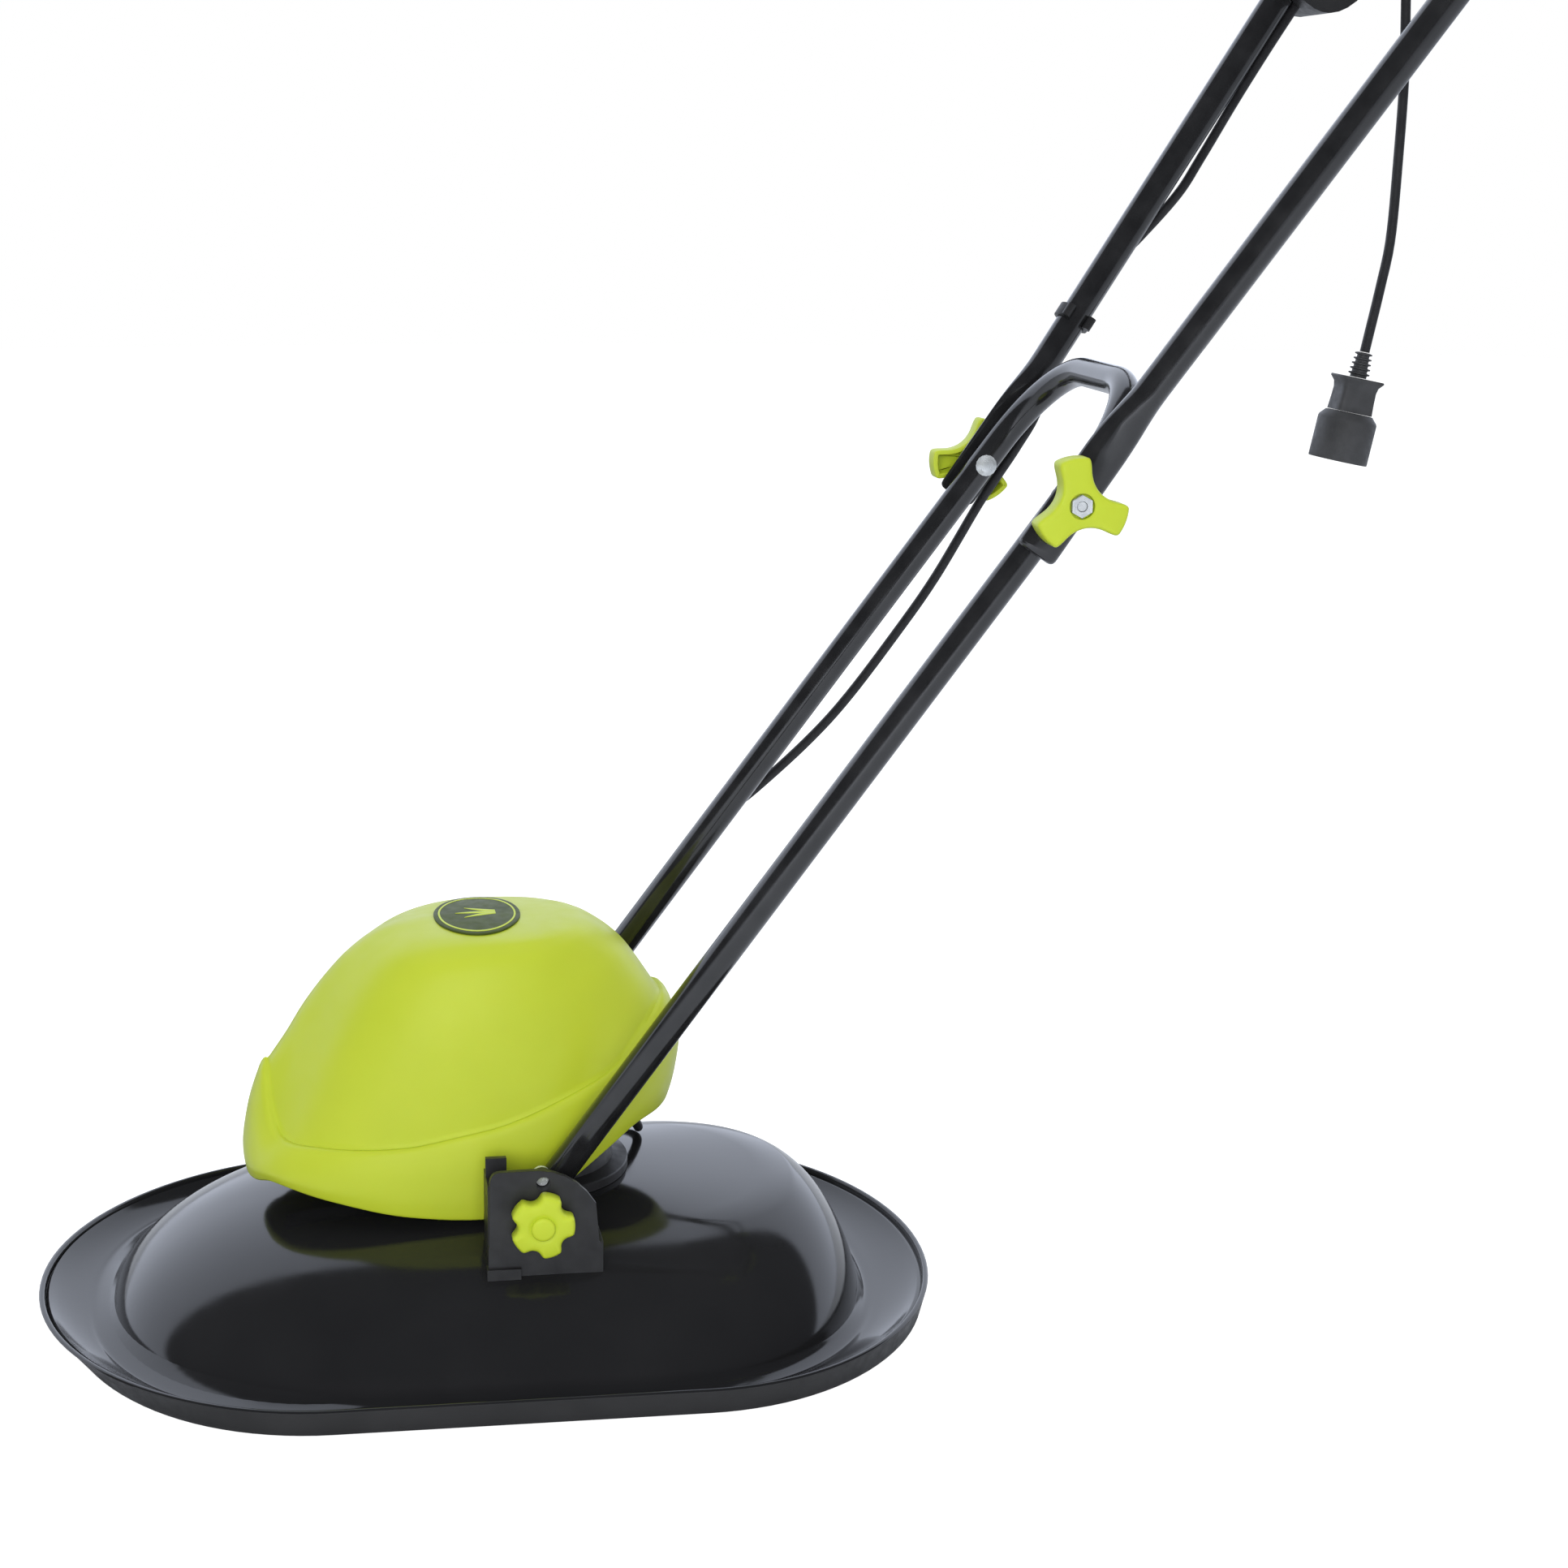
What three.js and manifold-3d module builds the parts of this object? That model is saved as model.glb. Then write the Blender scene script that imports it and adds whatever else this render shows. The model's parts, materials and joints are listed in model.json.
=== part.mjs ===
// Electric hover mower: an oval plastic hood on a cushion of air, a motor under a green cover,
// and a folding tubular handle. Units are millimetres, +Z is up, the front is towards -X and
// the operator stands at +X. The left side is -Y and the right side is +Y.
import * as THREE from 'three';
import { mergeVertices } from 'three/addons/utils/BufferGeometryUtils.js';
import Module from 'manifold-3d';

const wasm = await Module();
wasm.setup();

// ---------------------------------------------------------------- driving dimensions
const GAP = 0.3; // clearance between pieces that touch
const BOX_MIDDLE_X = 204.67; // middle of the whole mower's length, measured from the hood's middle

// Hood
const RIM = { half: 283, width: 200, straight: 112, flare: 4.4, height: 17, wall: 3 };
const RIM_FRONT = { tuck: -4.8, reach: 9 }; // how far the nose of the lip leans forward
const BASE = { front: 259, rear: 243, width: 181, straight: 100 }; // where the dome meets the brim
const DOME = { middle: 15, shift: 61, crest: 69, front: 195, rear: 155, width: 177, low: 7.2, top: 84 };
const DOME_ROUND = { plan: 2.56, rise: 0.685, front: 0.8, rear: 0.92, corner: 0.9 };
const SKIN = 3;

// Motor
const MOTOR_X = 22;
const HOLE_R = 46;
const PAD_R = 64;
const SHAFT_R = 4;
const CAN = { outer: 41, inner: 37.5, low: 112, high: 186 };
const BLADE = { reach: 150, thick: 2.5, z: 26 };

// Cover
const COVER = { top: 255, wall: 2.5 };

// Handle
const PIVOT = { x: 18.5, z: 95.5 };
const BOLT = { x: 346, z: 532.3 };
const LEG_Y = 97;
const TUBE_R = 9.5;
const UPPER_R = 10;
const WALL = 1.4; // of both tubes
const UPPER_ANGLE = THREE.MathUtils.degToRad(55.4);
const UPPER_LENGTH = 560; // from the clamp bolt to the crossbar
const UPPER_FOOT_Y = 110.3; // middle of the flattened ends
const UPPER_TOP_Y = 167.3; // where the splayed tubes reach the crossbar's bends
const PLATE = { inner: 122, outer: 126 }; // the bracket's outer wall

// ---------------------------------------------------------------- materials
const finish = (color, roughness, metalness = 0) =>
  new THREE.MeshStandardMaterial({ color, roughness, metalness });
const glossBlack = finish(0x1c1c1e, 0.18);
const satinBlack = finish(0x26272a, 0.5);
const tubeBlack = finish(0x161618, 0.25, 0.2);
const lime = finish(0xb7c72f, 0.4);
const zinc = finish(0xc9ccd0, 0.3, 0.9);
const steel = finish(0x8f9398, 0.35, 0.9);
const copper = finish(0xb5652e, 0.35, 0.8);
const rubber = finish(0x2e3033, 0.75);
const badgeGreen = finish(0x4d5a1f, 0.45);
const foam = finish(0x1a1a1b, 0.9);

// ---------------------------------------------------------------- shape helpers
const group = new THREE.Group();
group.position.set(-BOX_MIDDLE_X, 0, 0);

/** Adds a named sub-part, made from a geometry or a solid. */
function part(name, shape, material) {
  const geometry = shape.isBufferGeometry ? merged(shape) : toGeometry(shape);
  geometry.computeVertexNormals();
  const mesh = new THREE.Mesh(geometry, material);
  mesh.name = name;
  group.add(mesh);
  return mesh;
}

function merged(geometry) {
  const plain = geometry.clone();
  plain.deleteAttribute('normal');
  plain.deleteAttribute('uv');
  const welded = mergeVertices(plain, 1e-4);
  const index = [...welded.index.array];
  if (volumeOf(welded.attributes.position.array, index) < 0) welded.setIndex(index.reverse());
  return welded;
}

/** A closed geometry as a solid for joins and cuts. */
function solid(geometry) {
  const plain = merged(geometry);
  return new wasm.Manifold(new wasm.Mesh({
    numProp: 3,
    vertProperties: new Float32Array(plain.attributes.position.array),
    triVerts: new Uint32Array(plain.index.array),
  }));
}

function toGeometry(shape) {
  const mesh = shape.getMesh();
  const geometry = new THREE.BufferGeometry();
  geometry.setAttribute('position', new THREE.BufferAttribute(mesh.vertProperties, 3));
  geometry.setIndex(new THREE.BufferAttribute(mesh.triVerts, 1));
  return geometry;
}

const join = (...shapes) => shapes.reduce((all, next) => all.add(next));

/** A closed ring of [radius, height] points turned about the vertical axis. */
function turned(profile, steps = 22) {
  const points = profile.map(([r, z]) => new THREE.Vector2(r, z));
  const open = points[0].x > 0 || points[points.length - 1].x > 0;
  if (open) points.push(points[0].clone());
  return new THREE.LatheGeometry(points, steps).rotateX(Math.PI / 2);
}

/** A rod, or a tapered rod, between two points. */
function rod(from, to, radius, endRadius = radius, steps = 16) {
  const a = new THREE.Vector3(...from);
  const b = new THREE.Vector3(...to);
  const along = b.clone().sub(a);
  const geometry = new THREE.CylinderGeometry(endRadius, radius, along.length(), steps);
  const turn = new THREE.Quaternion().setFromUnitVectors(new THREE.Vector3(0, 1, 0), along.normalize());
  geometry.applyQuaternion(turn);
  const middle = a.add(b).multiplyScalar(0.5);
  return geometry.translate(middle.x, middle.y, middle.z);
}

/** A box from its lowest to its highest corner. */
function block(low, high) {
  const size = high.map((value, i) => value - low[i]);
  return new THREE.BoxGeometry(...size)
    .translate(...low.map((value, i) => value + size[i] / 2));
}

const polygon = (points) => new THREE.Shape(points.map(([x, y]) => new THREE.Vector2(x, y)));

/** An outline of [x, z] points, as thick as from yLow to yHigh. */
function plate(outline, yLow, yHigh) {
  const shape = outline instanceof THREE.Shape ? outline : polygon(outline);
  return new THREE.ExtrudeGeometry(shape, { depth: yHigh - yLow, bevelEnabled: false, curveSegments: 5 })
    .rotateX(Math.PI / 2)
    .translate(0, yHigh, 0);
}

/** A route whose steps fall on its own points, so a straight stretch takes a single step. */
class Route extends THREE.Curve {
  constructor(points) {
    super();
    this.points = points.map((p) => new THREE.Vector3(...p));
  }

  getUtoTmapping(u) {
    return u;
  }

  getPoint(t) {
    const last = this.points.length - 1;
    const i = Math.min(last - 1, Math.max(0, Math.floor(t * last)));
    return this.points[i].clone().lerp(this.points[i + 1], t * last - i);
  }
}

/** A round bar, or with a bore a tube, through the given points. */
function bar(points, radius, { around = 12, bore = 0 } = {}) {
  const shape = new THREE.Shape(circlePoints(radius, around));
  if (bore) shape.holes.push(new THREE.Path(circlePoints(bore, around)));
  return new THREE.ExtrudeGeometry(shape, {
    steps: points.length - 1,
    extrudePath: new Route(points),
    bevelEnabled: false,
  });
}

/** Evenly spaced points of a smooth curve through a few given ones. */
function smooth(points, count) {
  return new THREE.CatmullRomCurve3(points.map((p) => new THREE.Vector3(...p)), false, 'centripetal')
    .getSpacedPoints(count)
    .map((p) => p.toArray());
}

function circlePoints(radius, count) {
  return Array.from({ length: count }, (_, i) => {
    const angle = (2 * Math.PI * i) / count;
    return new THREE.Vector2(radius * Math.cos(angle), radius * Math.sin(angle));
  });
}

/**
 * A closed body through rings of equal numbers of points. Without poles the last ring joins the
 * first, as on a shell with a hole; with poles each end closes on its own middle point.
 */
function loft(rings, { poles = null } = {}) {
  const count = rings[0].length;
  const positions = rings.flat(2);
  const index = [];
  const bands = poles ? rings.length - 1 : rings.length;
  for (let k = 0; k < bands; k++) {
    for (let i = 0; i < count; i++) {
      const next = (i + 1) % count;
      const low = k * count;
      const high = ((k + 1) % rings.length) * count;
      index.push(low + i, low + next, high + next, low + i, high + next, high + i);
    }
  }
  if (poles) {
    const first = positions.length / 3;
    positions.push(...poles[0], ...poles[1]);
    const last = (rings.length - 1) * count;
    for (let i = 0; i < count; i++) {
      const next = (i + 1) % count;
      index.push(first, next, i, first + 1, last + i, last + next);
    }
  }
  const geometry = new THREE.BufferGeometry();
  geometry.setAttribute('position', new THREE.Float32BufferAttribute(positions, 3));
  geometry.setIndex(index);
  return geometry;
}

/** Six times the volume inside the triangles; negative when they face inwards. */
function volumeOf(positions, index) {
  const at = (i) => new THREE.Vector3().fromArray(positions, 3 * i);
  let total = 0;
  for (let k = 0; k < index.length; k += 3) {
    total += at(index[k]).dot(at(index[k + 1]).cross(at(index[k + 2])));
  }
  return total;
}

/** A value from a short list of [place, value] points, joined by straight lines. */
function between(list, place) {
  const i = Math.max(1, list.findIndex(([at], k) => k > 0 && place <= at));
  const [a, b] = [list[i - 1], list[i]];
  const share = Math.min(1, Math.max(0, (place - a[0]) / (b[0] - a[0])));
  return a[1] + (b[1] - a[1]) * share;
}

const mix = (a, b, share) => a + (b - a) * share;
const sides = [['left', -1], ['right', 1]];

/** A geometry drawn for the right side, as a solid on either side. */
const onSide = (sign, geometry) => (sign > 0 ? solid(geometry) : solid(geometry).mirror([0, 1, 0]));

/** A profile of [radius, y] points turned about an axis across the mower at [x, z]. */
const turnedAcross = (profile, { x, z }, steps = 16) =>
  turned(profile, steps).rotateX(-Math.PI / 2).translate(x, 0, z);

// ---------------------------------------------------------------- hood
const HOOD_STEPS = 36;
const turns = Array.from({ length: HOOD_STEPS }, (_, i) => (2 * Math.PI * i) / HOOD_STEPS);
const signOf = (value) => (Math.abs(value) < 1e-9 ? 0 : Math.sign(value));

/** The oval of the rim: straight sides with elliptical ends. */
function oval(angle, half, width, straight) {
  const c = Math.cos(angle);
  return [signOf(c) * straight + (half - straight) * c, width * Math.sin(angle)];
}

/** How far round towards the nose a point of the rim lies, from 0 to 1. */
const nose = (x) => Math.max(0, (-x / RIM.half - 0.45) / 0.55) ** 2;

function rimRing(inset, z, share = z / RIM.height) {
  const grow = RIM.flare * share - inset;
  return turns.map((angle) => {
    const [x, y] = oval(angle, RIM.half + grow, RIM.width + grow, RIM.straight);
    return [x - nose(x) * mix(RIM_FRONT.tuck, RIM_FRONT.reach, share), y, z];
  });
}

const bend = (value, power) => signOf(value) * Math.abs(value) ** power;

/** The oval where the dome ends, with fuller corners than the rim's. */
function baseOval(angle, inset) {
  const c = Math.cos(angle);
  const reach = (c < 0 ? BASE.front : BASE.rear) - BASE.straight - inset;
  return [
    signOf(c) * BASE.straight + reach * bend(c, DOME_ROUND.corner),
    (BASE.width - inset) * bend(Math.sin(angle), DOME_ROUND.corner),
  ];
}

const baseRing = (inset, z) => turns.map((angle) => [...baseOval(angle, inset), z]);

/** The brim's ring at a share of the way from the dome's foot to the lip. */
function brimRing(share, drop) {
  const inner = baseRing(0, 0);
  const outer = rimRing(4, RIM.height);
  return inner.map(([x, y], i) => {
    const rise = between([[0, 0], [0.35, 1.2], [0.7, 4.4], [0.93, 8.6]], share);
    const lift = nose(outer[i][0]) * between([[0, 0], [0.35, 0.8], [0.93, 2]], share);
    return [mix(x, outer[i][0], share), mix(y, outer[i][1], share), 5 + rise + lift - drop];
  });
}

const domeHeight = (r) => DOME.low + (DOME.top - DOME.low) * (1 - r ** DOME_ROUND.plan) ** DOME_ROUND.rise;

/** A level ring of the dome; r is 0 along the crest and 1 at its foot. */
function domeRing(r, inset, drop) {
  const middle = DOME.middle + DOME.shift * (1 - r);
  return turns.map((angle) => {
    const c = Math.cos(angle);
    const reach = c < 0 ? DOME.front * r ** DOME_ROUND.front : DOME.rear * r ** DOME_ROUND.rear;
    return [
      middle + signOf(c) * DOME.crest + (reach - inset) * bend(c, DOME_ROUND.corner),
      (DOME.width * r - inset) * bend(Math.sin(angle), DOME_ROUND.corner),
      domeHeight(r) - drop,
    ];
  });
}

const motorRing = (radius, z) =>
  turns.map((angle) => [MOTOR_X + radius * Math.cos(angle), radius * Math.sin(angle), z]);

const DOME_LEVELS = [0.5, 0.62, 0.73, 0.82, 0.89, 0.94, 0.975];

/** The hood's outer surface, from the motor hole out to the lip's foot. */
const hoodOutside = [
  motorRing(HOLE_R, DOME.top),
  motorRing(PAD_R, DOME.top),
  ...DOME_LEVELS.map((r) => domeRing(r, 0, 0)),
  domeRing(1, -2, 0),
  baseRing(0, 5),
  brimRing(0.35, 0),
  brimRing(0.7, 0),
  brimRing(0.93, 0),
  rimRing(4, RIM.height - 1),
  rimRing(3, RIM.height),
  rimRing(1, RIM.height),
  rimRing(0, RIM.height - 1.5),
  rimRing(0, 0),
];
const hoodInside = [
  rimRing(RIM.wall, 0),
  brimRing(0.93, SKIN),
  brimRing(0.7, SKIN),
  brimRing(0.35, SKIN),
  baseRing(2, 5 - SKIN),
  ...DOME_LEVELS.slice().reverse().map((r) => domeRing(r, 2.4, SKIN * 0.8)),
  motorRing(PAD_R - 2, DOME.top - SKIN),
  motorRing(HOLE_R, DOME.top - SKIN),
];
const hood = loft([...hoodOutside, ...hoodInside]);
part('hood', hood, glossBlack);

/** The dome with a little clearance, to shape what stands on it. */
const domeRoom = solid(loft(
  [
    baseRing(0, -20),
    baseRing(-GAP, 5),
    ...DOME_LEVELS.slice().reverse().map((r) => domeRing(r, -GAP, -GAP)),
    motorRing(PAD_R, DOME.top + GAP),
  ],
  { poles: [[0, 0, -20], [MOTOR_X, 0, DOME.top + GAP]] },
));

// ---------------------------------------------------------------- motor and air path
const motorAt = (geometry) => geometry.translate(MOTOR_X, 0, 0);

// The collar stands on the hood's pad. Three arms inside it hold the lower bearing.
const collarRing = solid(motorAt(turned([
  [HOLE_R, DOME.top + GAP], [66, DOME.top + GAP], [66, 90], [56, 91.5], [54, 104], [50, 106], [HOLE_R, 106],
])));
const bearingSeat = solid(motorAt(turned([[11.3, 96], [16, 96], [16, 106], [11.3, 106]], 24)));
const collarArms = [0, 1, 2].map((i) => solid(
  block([14, -4, 97], [50, 4, 104]).rotateZ((i * 2 * Math.PI) / 3).translate(MOTOR_X, 0, 0),
));
part('motor_collar', join(collarRing, bearingSeat, ...collarArms), satinBlack);

/** A bushing about the motor's axis, with the shaft's clearance inside. */
const bushing = (radius, low, high) => motorAt(turned([
  [SHAFT_R + GAP, low], [radius, low], [radius, high], [SHAFT_R + GAP, high],
], 24));
part('lower_bearing', bushing(11, 98, 105), steel);
part('stator_can', motorAt(turned([
  [CAN.inner, CAN.low], [CAN.outer, CAN.low], [CAN.outer, CAN.high], [CAN.inner, CAN.high],
])), steel);
part('motor_foot_ring', motorAt(turned([
  [38, 106.3], [47, 106.3], [47, CAN.low - GAP], [38, CAN.low - GAP],
])), satinBlack);
part('stator_core', motorAt(turned([[25.5, 126], [37.2, 126], [37.2, 168], [25.5, 168]])), steel);
[['lower', 117], ['upper', 168.3]].forEach(([name, z]) => {
  part(`${name}_field_winding`, motorAt(turned([
    [27, z], [35.5, z], [36.5, z + 4], [35.5, z + 8.5], [27, z + 8.5],
  ])), copper);
});

// The end cap closes the can, seats the upper bearing and holds two brush boxes.
const capCup = solid(motorAt(turned([
  [11.3, 196], [11.3, 206], [15, 208], [36, 200], [CAN.outer, 194], [CAN.outer, CAN.high + GAP],
  [CAN.inner, CAN.high + GAP], [CAN.inner, 191], [34, 196],
])));
part('motor_end_cap', capCup, satinBlack);
part('upper_bearing', bushing(11, 198, 205), steel);
sides.forEach(([name, sign]) => {
  const carbon = block([-4, 12.6, 180], [4, 22, 186]);
  part(`carbon_brush_${name}`, motorAt(sign > 0 ? carbon : carbon.rotateZ(Math.PI)), satinBlack);
});
part('suppressor', block([MOTOR_X - 60, -9, 150], [MOTOR_X - 42, 9, 176]), lime);

// Spinning set: armature, commutator, fan and blade on one shaft.
part('armature_shaft', rod([MOTOR_X, 0, 21], [MOTOR_X, 0, 204], SHAFT_R), steel);
part('armature_core', bushing(24.8, 124, 170), copper);
part('commutator', bushing(12.2, 176, 189), copper);

const FAN = { radius: 118, low: 44, plate: 3, vane: 16, vanes: 8 };
const fanDisc = solid(motorAt(turned([
  [SHAFT_R + GAP, 36], [14, 36], [14, FAN.low], [FAN.radius, FAN.low],
  [FAN.radius, FAN.low + FAN.plate], [14, FAN.low + FAN.plate], [14, 60], [SHAFT_R + GAP, 60],
], 36)));
const fanVanes = Array.from({ length: FAN.vanes }, (_, i) => solid(
  block([46, -1.5, FAN.low + 1], [FAN.radius - 4, 1.5, FAN.low + FAN.vane])
    .rotateZ((2 * Math.PI * (i + 0.5)) / FAN.vanes)
    .translate(MOTOR_X, 0, 0),
));
part('impeller', join(fanDisc, ...fanVanes), lime);

part('blade_spacer', bushing(15, 29, 35.7), satinBlack);
const bladeOutline = polygon([
  [-BLADE.reach, -6], [-BLADE.reach + 14, -20], [-40, -21], [0, -16], [BLADE.reach - 60, -21],
  [BLADE.reach, -21], [BLADE.reach, 6], [BLADE.reach - 14, 20], [40, 21], [0, 16], [60 - BLADE.reach, 21],
  [-BLADE.reach, 21],
]);
bladeOutline.holes.push(new THREE.Path(circlePoints(SHAFT_R + GAP, 16)));
part('blade', new THREE.ExtrudeGeometry(bladeOutline, { depth: BLADE.thick, bevelEnabled: false })
  .translate(MOTOR_X, 0, BLADE.z), steel);
part('blade_washer', bushing(13, 23.4, 25.7), zinc);
part('blade_bolt', join(
  solid(rod([MOTOR_X, 0, 13], [MOTOR_X, 0, 20.7], 9, 9, 6)),
  solid(motorAt(turned([[0, 17], [10.5, 17], [10.5, 20.7], [0, 20.7]], 24))),
  solid(bushing(8, 20, 23.1)),
), zinc);

// ---------------------------------------------------------------- motor cover
const COVER_STEPS = 36;
const coverTurns = Array.from({ length: COVER_STEPS }, (_, i) => (2 * Math.PI * i) / COVER_STEPS);

// Heights round the cover, by degrees from the rear middle round to the front middle.
const SKIRT_FOOT = [
  [0, 127], [20, 129], [38, 127], [52, 115], [66, 98], [80, 82], [100, 84], [125, 93], [150, 98], [165, 92],
  [180, 88],
];
const SKIRT_TOP = [
  [0, 202], [14, 201], [30, 190], [48, 169], [66, 155], [85, 140], [105, 129], [135, 125], [157, 124],
  [168, 138], [180, 164],
];
// Plan of each level: share of the height, then how far it reaches to the front, rear and side.
const SKIRT = [
  [0, 160, 112, 87], [0.3, 163.5, 119, 88.5], [0.65, 159, 122, 88], [0.93, 152, 116, 85.5],
  [1, 149.5, 113, 83.5],
];
const CROWN = [
  [0, 145, 107, 81], [0.18, 134, 101, 79.5], [0.38, 123, 94, 77.5], [0.58, 109.5, 86, 74.5],
  [0.74, 96, 77, 70], [0.86, 82, 68, 65.5], [0.93, 68, 61, 59.5], [0.975, 49, 52, 50], [0.995, 26, 30, 30],
];

const degreesRound = (angle) => {
  const degrees = THREE.MathUtils.radToDeg(angle);
  return degrees > 180 ? 360 - degrees : degrees;
};

/** A point of a level ring, with egg-shaped ends and full corners. */
function coverPoint(angle, [, front, rear, side], inset) {
  const power = 0.87;
  const c = Math.cos(angle);
  const s = Math.sin(angle);
  const half = (front + rear) / 2;
  const middle = (rear - front) / 2;
    const egg = 1 - 0.06 * c;
  return [middle + (half - inset) * bend(c, power), (side - inset) * bend(s, power) * egg];
}

function skirtRing(level, inset) {
  return coverTurns.map((angle) => {
    const degrees = degreesRound(angle);
    const z = mix(between(SKIRT_FOOT, degrees), between(SKIRT_TOP, degrees), level[0]);
    return [...coverPoint(angle, level, inset), z];
  });
}

function crownRing(level, inset, drop) {
  return coverTurns.map((angle) => {
    const z = mix(between(SKIRT_TOP, degreesRound(angle)) + 1.5, COVER.top, level[0]);
    return [...coverPoint(angle, level, inset), z - drop * level[0]];
  });
}

const coverOutside = [
  ...CROWN.slice().reverse().map((level) => crownRing(level, 0, 0)),
  ...SKIRT.slice().reverse().map((level) => skirtRing(level, 0)),
];
const coverInside = [
  ...SKIRT.slice(0, 3).map((level) => skirtRing(level, COVER.wall)),
  ...CROWN.map((level) => crownRing(level, COVER.wall, COVER.wall)),
];
part('motor_cover', loft([...coverOutside, ...coverInside], {
  poles: [[0, 0, COVER.top], [0, 0, COVER.top - COVER.wall]],
}), lime);

// The badge is a thin oval that follows the crown.
const BADGE = { x: -10, wide: 86, long: 56, thick: 1.1 };
const crownSolid = solid(loft(coverOutside, { poles: [[0, 0, COVER.top], [0, 0, 100]] }));
const badgeColumn = solid(rod([0, 0, 200], [0, 0, 270], BADGE.long / 2, BADGE.long / 2, 36)
  .scale(1, BADGE.wide / BADGE.long, 1)
  .translate(BADGE.x, 0, 0));
part('cover_badge', badgeColumn
  .intersect(crownSolid.translate([0, 0, GAP + BADGE.thick]))
  .subtract(crownSolid.translate([0, 0, GAP])), badgeGreen);

// The frame rests on the collar and carries the cover on four ends.
const frameOpening = solid(motorAt(turned([[0, 100], [47.3, 100], [47.3, 115], [0, 115]])));
part('cover_frame', join(
  solid(block([-150, -12, 106.3], [86, 12, 109.3])),
  solid(block([10, -78, 106.3], [34, 78, 109.3])),
  solid(motorAt(turned([[44, 106.3], [56, 106.3], [56, 109.3], [44, 109.3]]))),
).subtract(frameOpening), satinBlack);

// ---------------------------------------------------------------- handle brackets
// Each bracket is an outer wall with a front web, a floor that follows the dome and a boss for the stop pin.
const STOP = { x: 20, z: 119 };
const wallOutline = new THREE.Shape();
wallOutline.moveTo(-14, 50);
wallOutline.lineTo(-13, 121);
wallOutline.quadraticCurveTo(-12.5, 127.6, -6, 127.6);
wallOutline.lineTo(17, 127.8);
wallOutline.quadraticCurveTo(40, 126, 52.5, 105);
wallOutline.lineTo(54, 88);
wallOutline.lineTo(57, 50);
wallOutline.closePath();

sides.forEach(([name, sign]) => {
  const flip = (geometry) => onSide(sign, geometry);
  const wall = flip(plate(wallOutline, PLATE.inner, PLATE.outer));
  const web = flip(block([-14, 93, 50], [-10, 123, 118]));
  const hook = flip(block([-14, 104, 112], [-1, 108, 130]));
  const shelf = flip(block([-14, 93, 50], [57, 126, 80]));
  const foot = flip(block([-15, 120, 50], [6, 128.5, 66]));
  const boss = flip(rod([STOP.x, 115, STOP.z], [STOP.x, 123, STOP.z], 7));
  const pivotHole = flip(rod([PIVOT.x, 80, PIVOT.z], [PIVOT.x, 140, PIVOT.z], 4 + GAP));
  const pinHole = flip(rod([STOP.x, 110, STOP.z], [STOP.x, 140, STOP.z], 4.4));
  part(`bracket_${name}`, join(wall, web, hook, shelf, foot, boss)
    .subtract(pivotHole).subtract(pinHole).subtract(domeRoom), satinBlack);

  const pin = [
    [0, 106.5], [3.4, 106.9], [5.4, 108.4], [6, 110.5], [6, 114.7], [4, 114.7], [4, 118.5], [0, 118.5],
  ];
  part(`stop_pin_${name}`, flip(turnedAcross(pin, STOP)), zinc);

  // The pivot bolt: a wide head inside the handle's foot and a shank out to the star knob.
  const shank = [[0, 88.3], [7.5, 88.3], [7.5, 92], [4, 92], [4, 137], [0, 137]];
  part(`pivot_bolt_${name}`, flip(turnedAcross(shank, PIVOT)), zinc);

  const knobBody = [
    [4 + GAP, 126.3], [9, 126.3], [9, 128], [20, 129], [20, 137], [18.5, 139.5], [7.3, 140], [7.3, 141],
    [6.5, 141.6], [0, 141.6], [0, 138], [4 + GAP, 138],
  ];
  const notches = [0, 1, 2, 3, 4].map((i) => {
    const angle = (i + 0.5) * 2 * Math.PI / 5;
    const x = PIVOT.x + 21.8 * Math.cos(angle);
    const z = PIVOT.z + 21.8 * Math.sin(angle);
    return flip(rod([x, 120, z], [x, 145, z], 6.4, 6.4, 10));
  });
  const knob = flip(turnedAcross(knobBody, PIVOT, 25));
  part(`pivot_knob_${name}`, notches.reduce((all, notch) => all.subtract(notch), knob), lime);
});

// ---------------------------------------------------------------- lower handle
const legTurn = Math.atan2(BOLT.z - PIVOT.z, BOLT.x - PIVOT.x);
const LEG_LENGTH = Math.hypot(BOLT.z - PIVOT.z, BOLT.x - PIVOT.x);

/** A point of the lower handle: distance up the leg, distance behind it, and place across. */
const onLeg = (up, behind, across) => [
  PIVOT.x + up * Math.cos(legTurn) + behind * Math.sin(legTurn),
  across,
  PIVOT.z + up * Math.sin(legTurn) - behind * Math.cos(legTurn),
];

/** The same for the upper handle, measured up from the clamp bolt. */
const onUpper = (up, behind, across) => [
  BOLT.x + up * Math.cos(UPPER_ANGLE) + behind * Math.sin(UPPER_ANGLE),
  across,
  BOLT.z + up * Math.sin(UPPER_ANGLE) - behind * Math.cos(UPPER_ANGLE),
];

/** Points round a bend in the handle's own plane, about a middle [up, across]. */
function roundBend(place, [up, across], radius, from, to, count) {
  return Array.from({ length: count + 1 }, (_, i) => {
    const angle = mix(from, to, i / count);
    return place(up + radius * Math.sin(angle), 0, across + radius * Math.cos(angle));
  });
}

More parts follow.
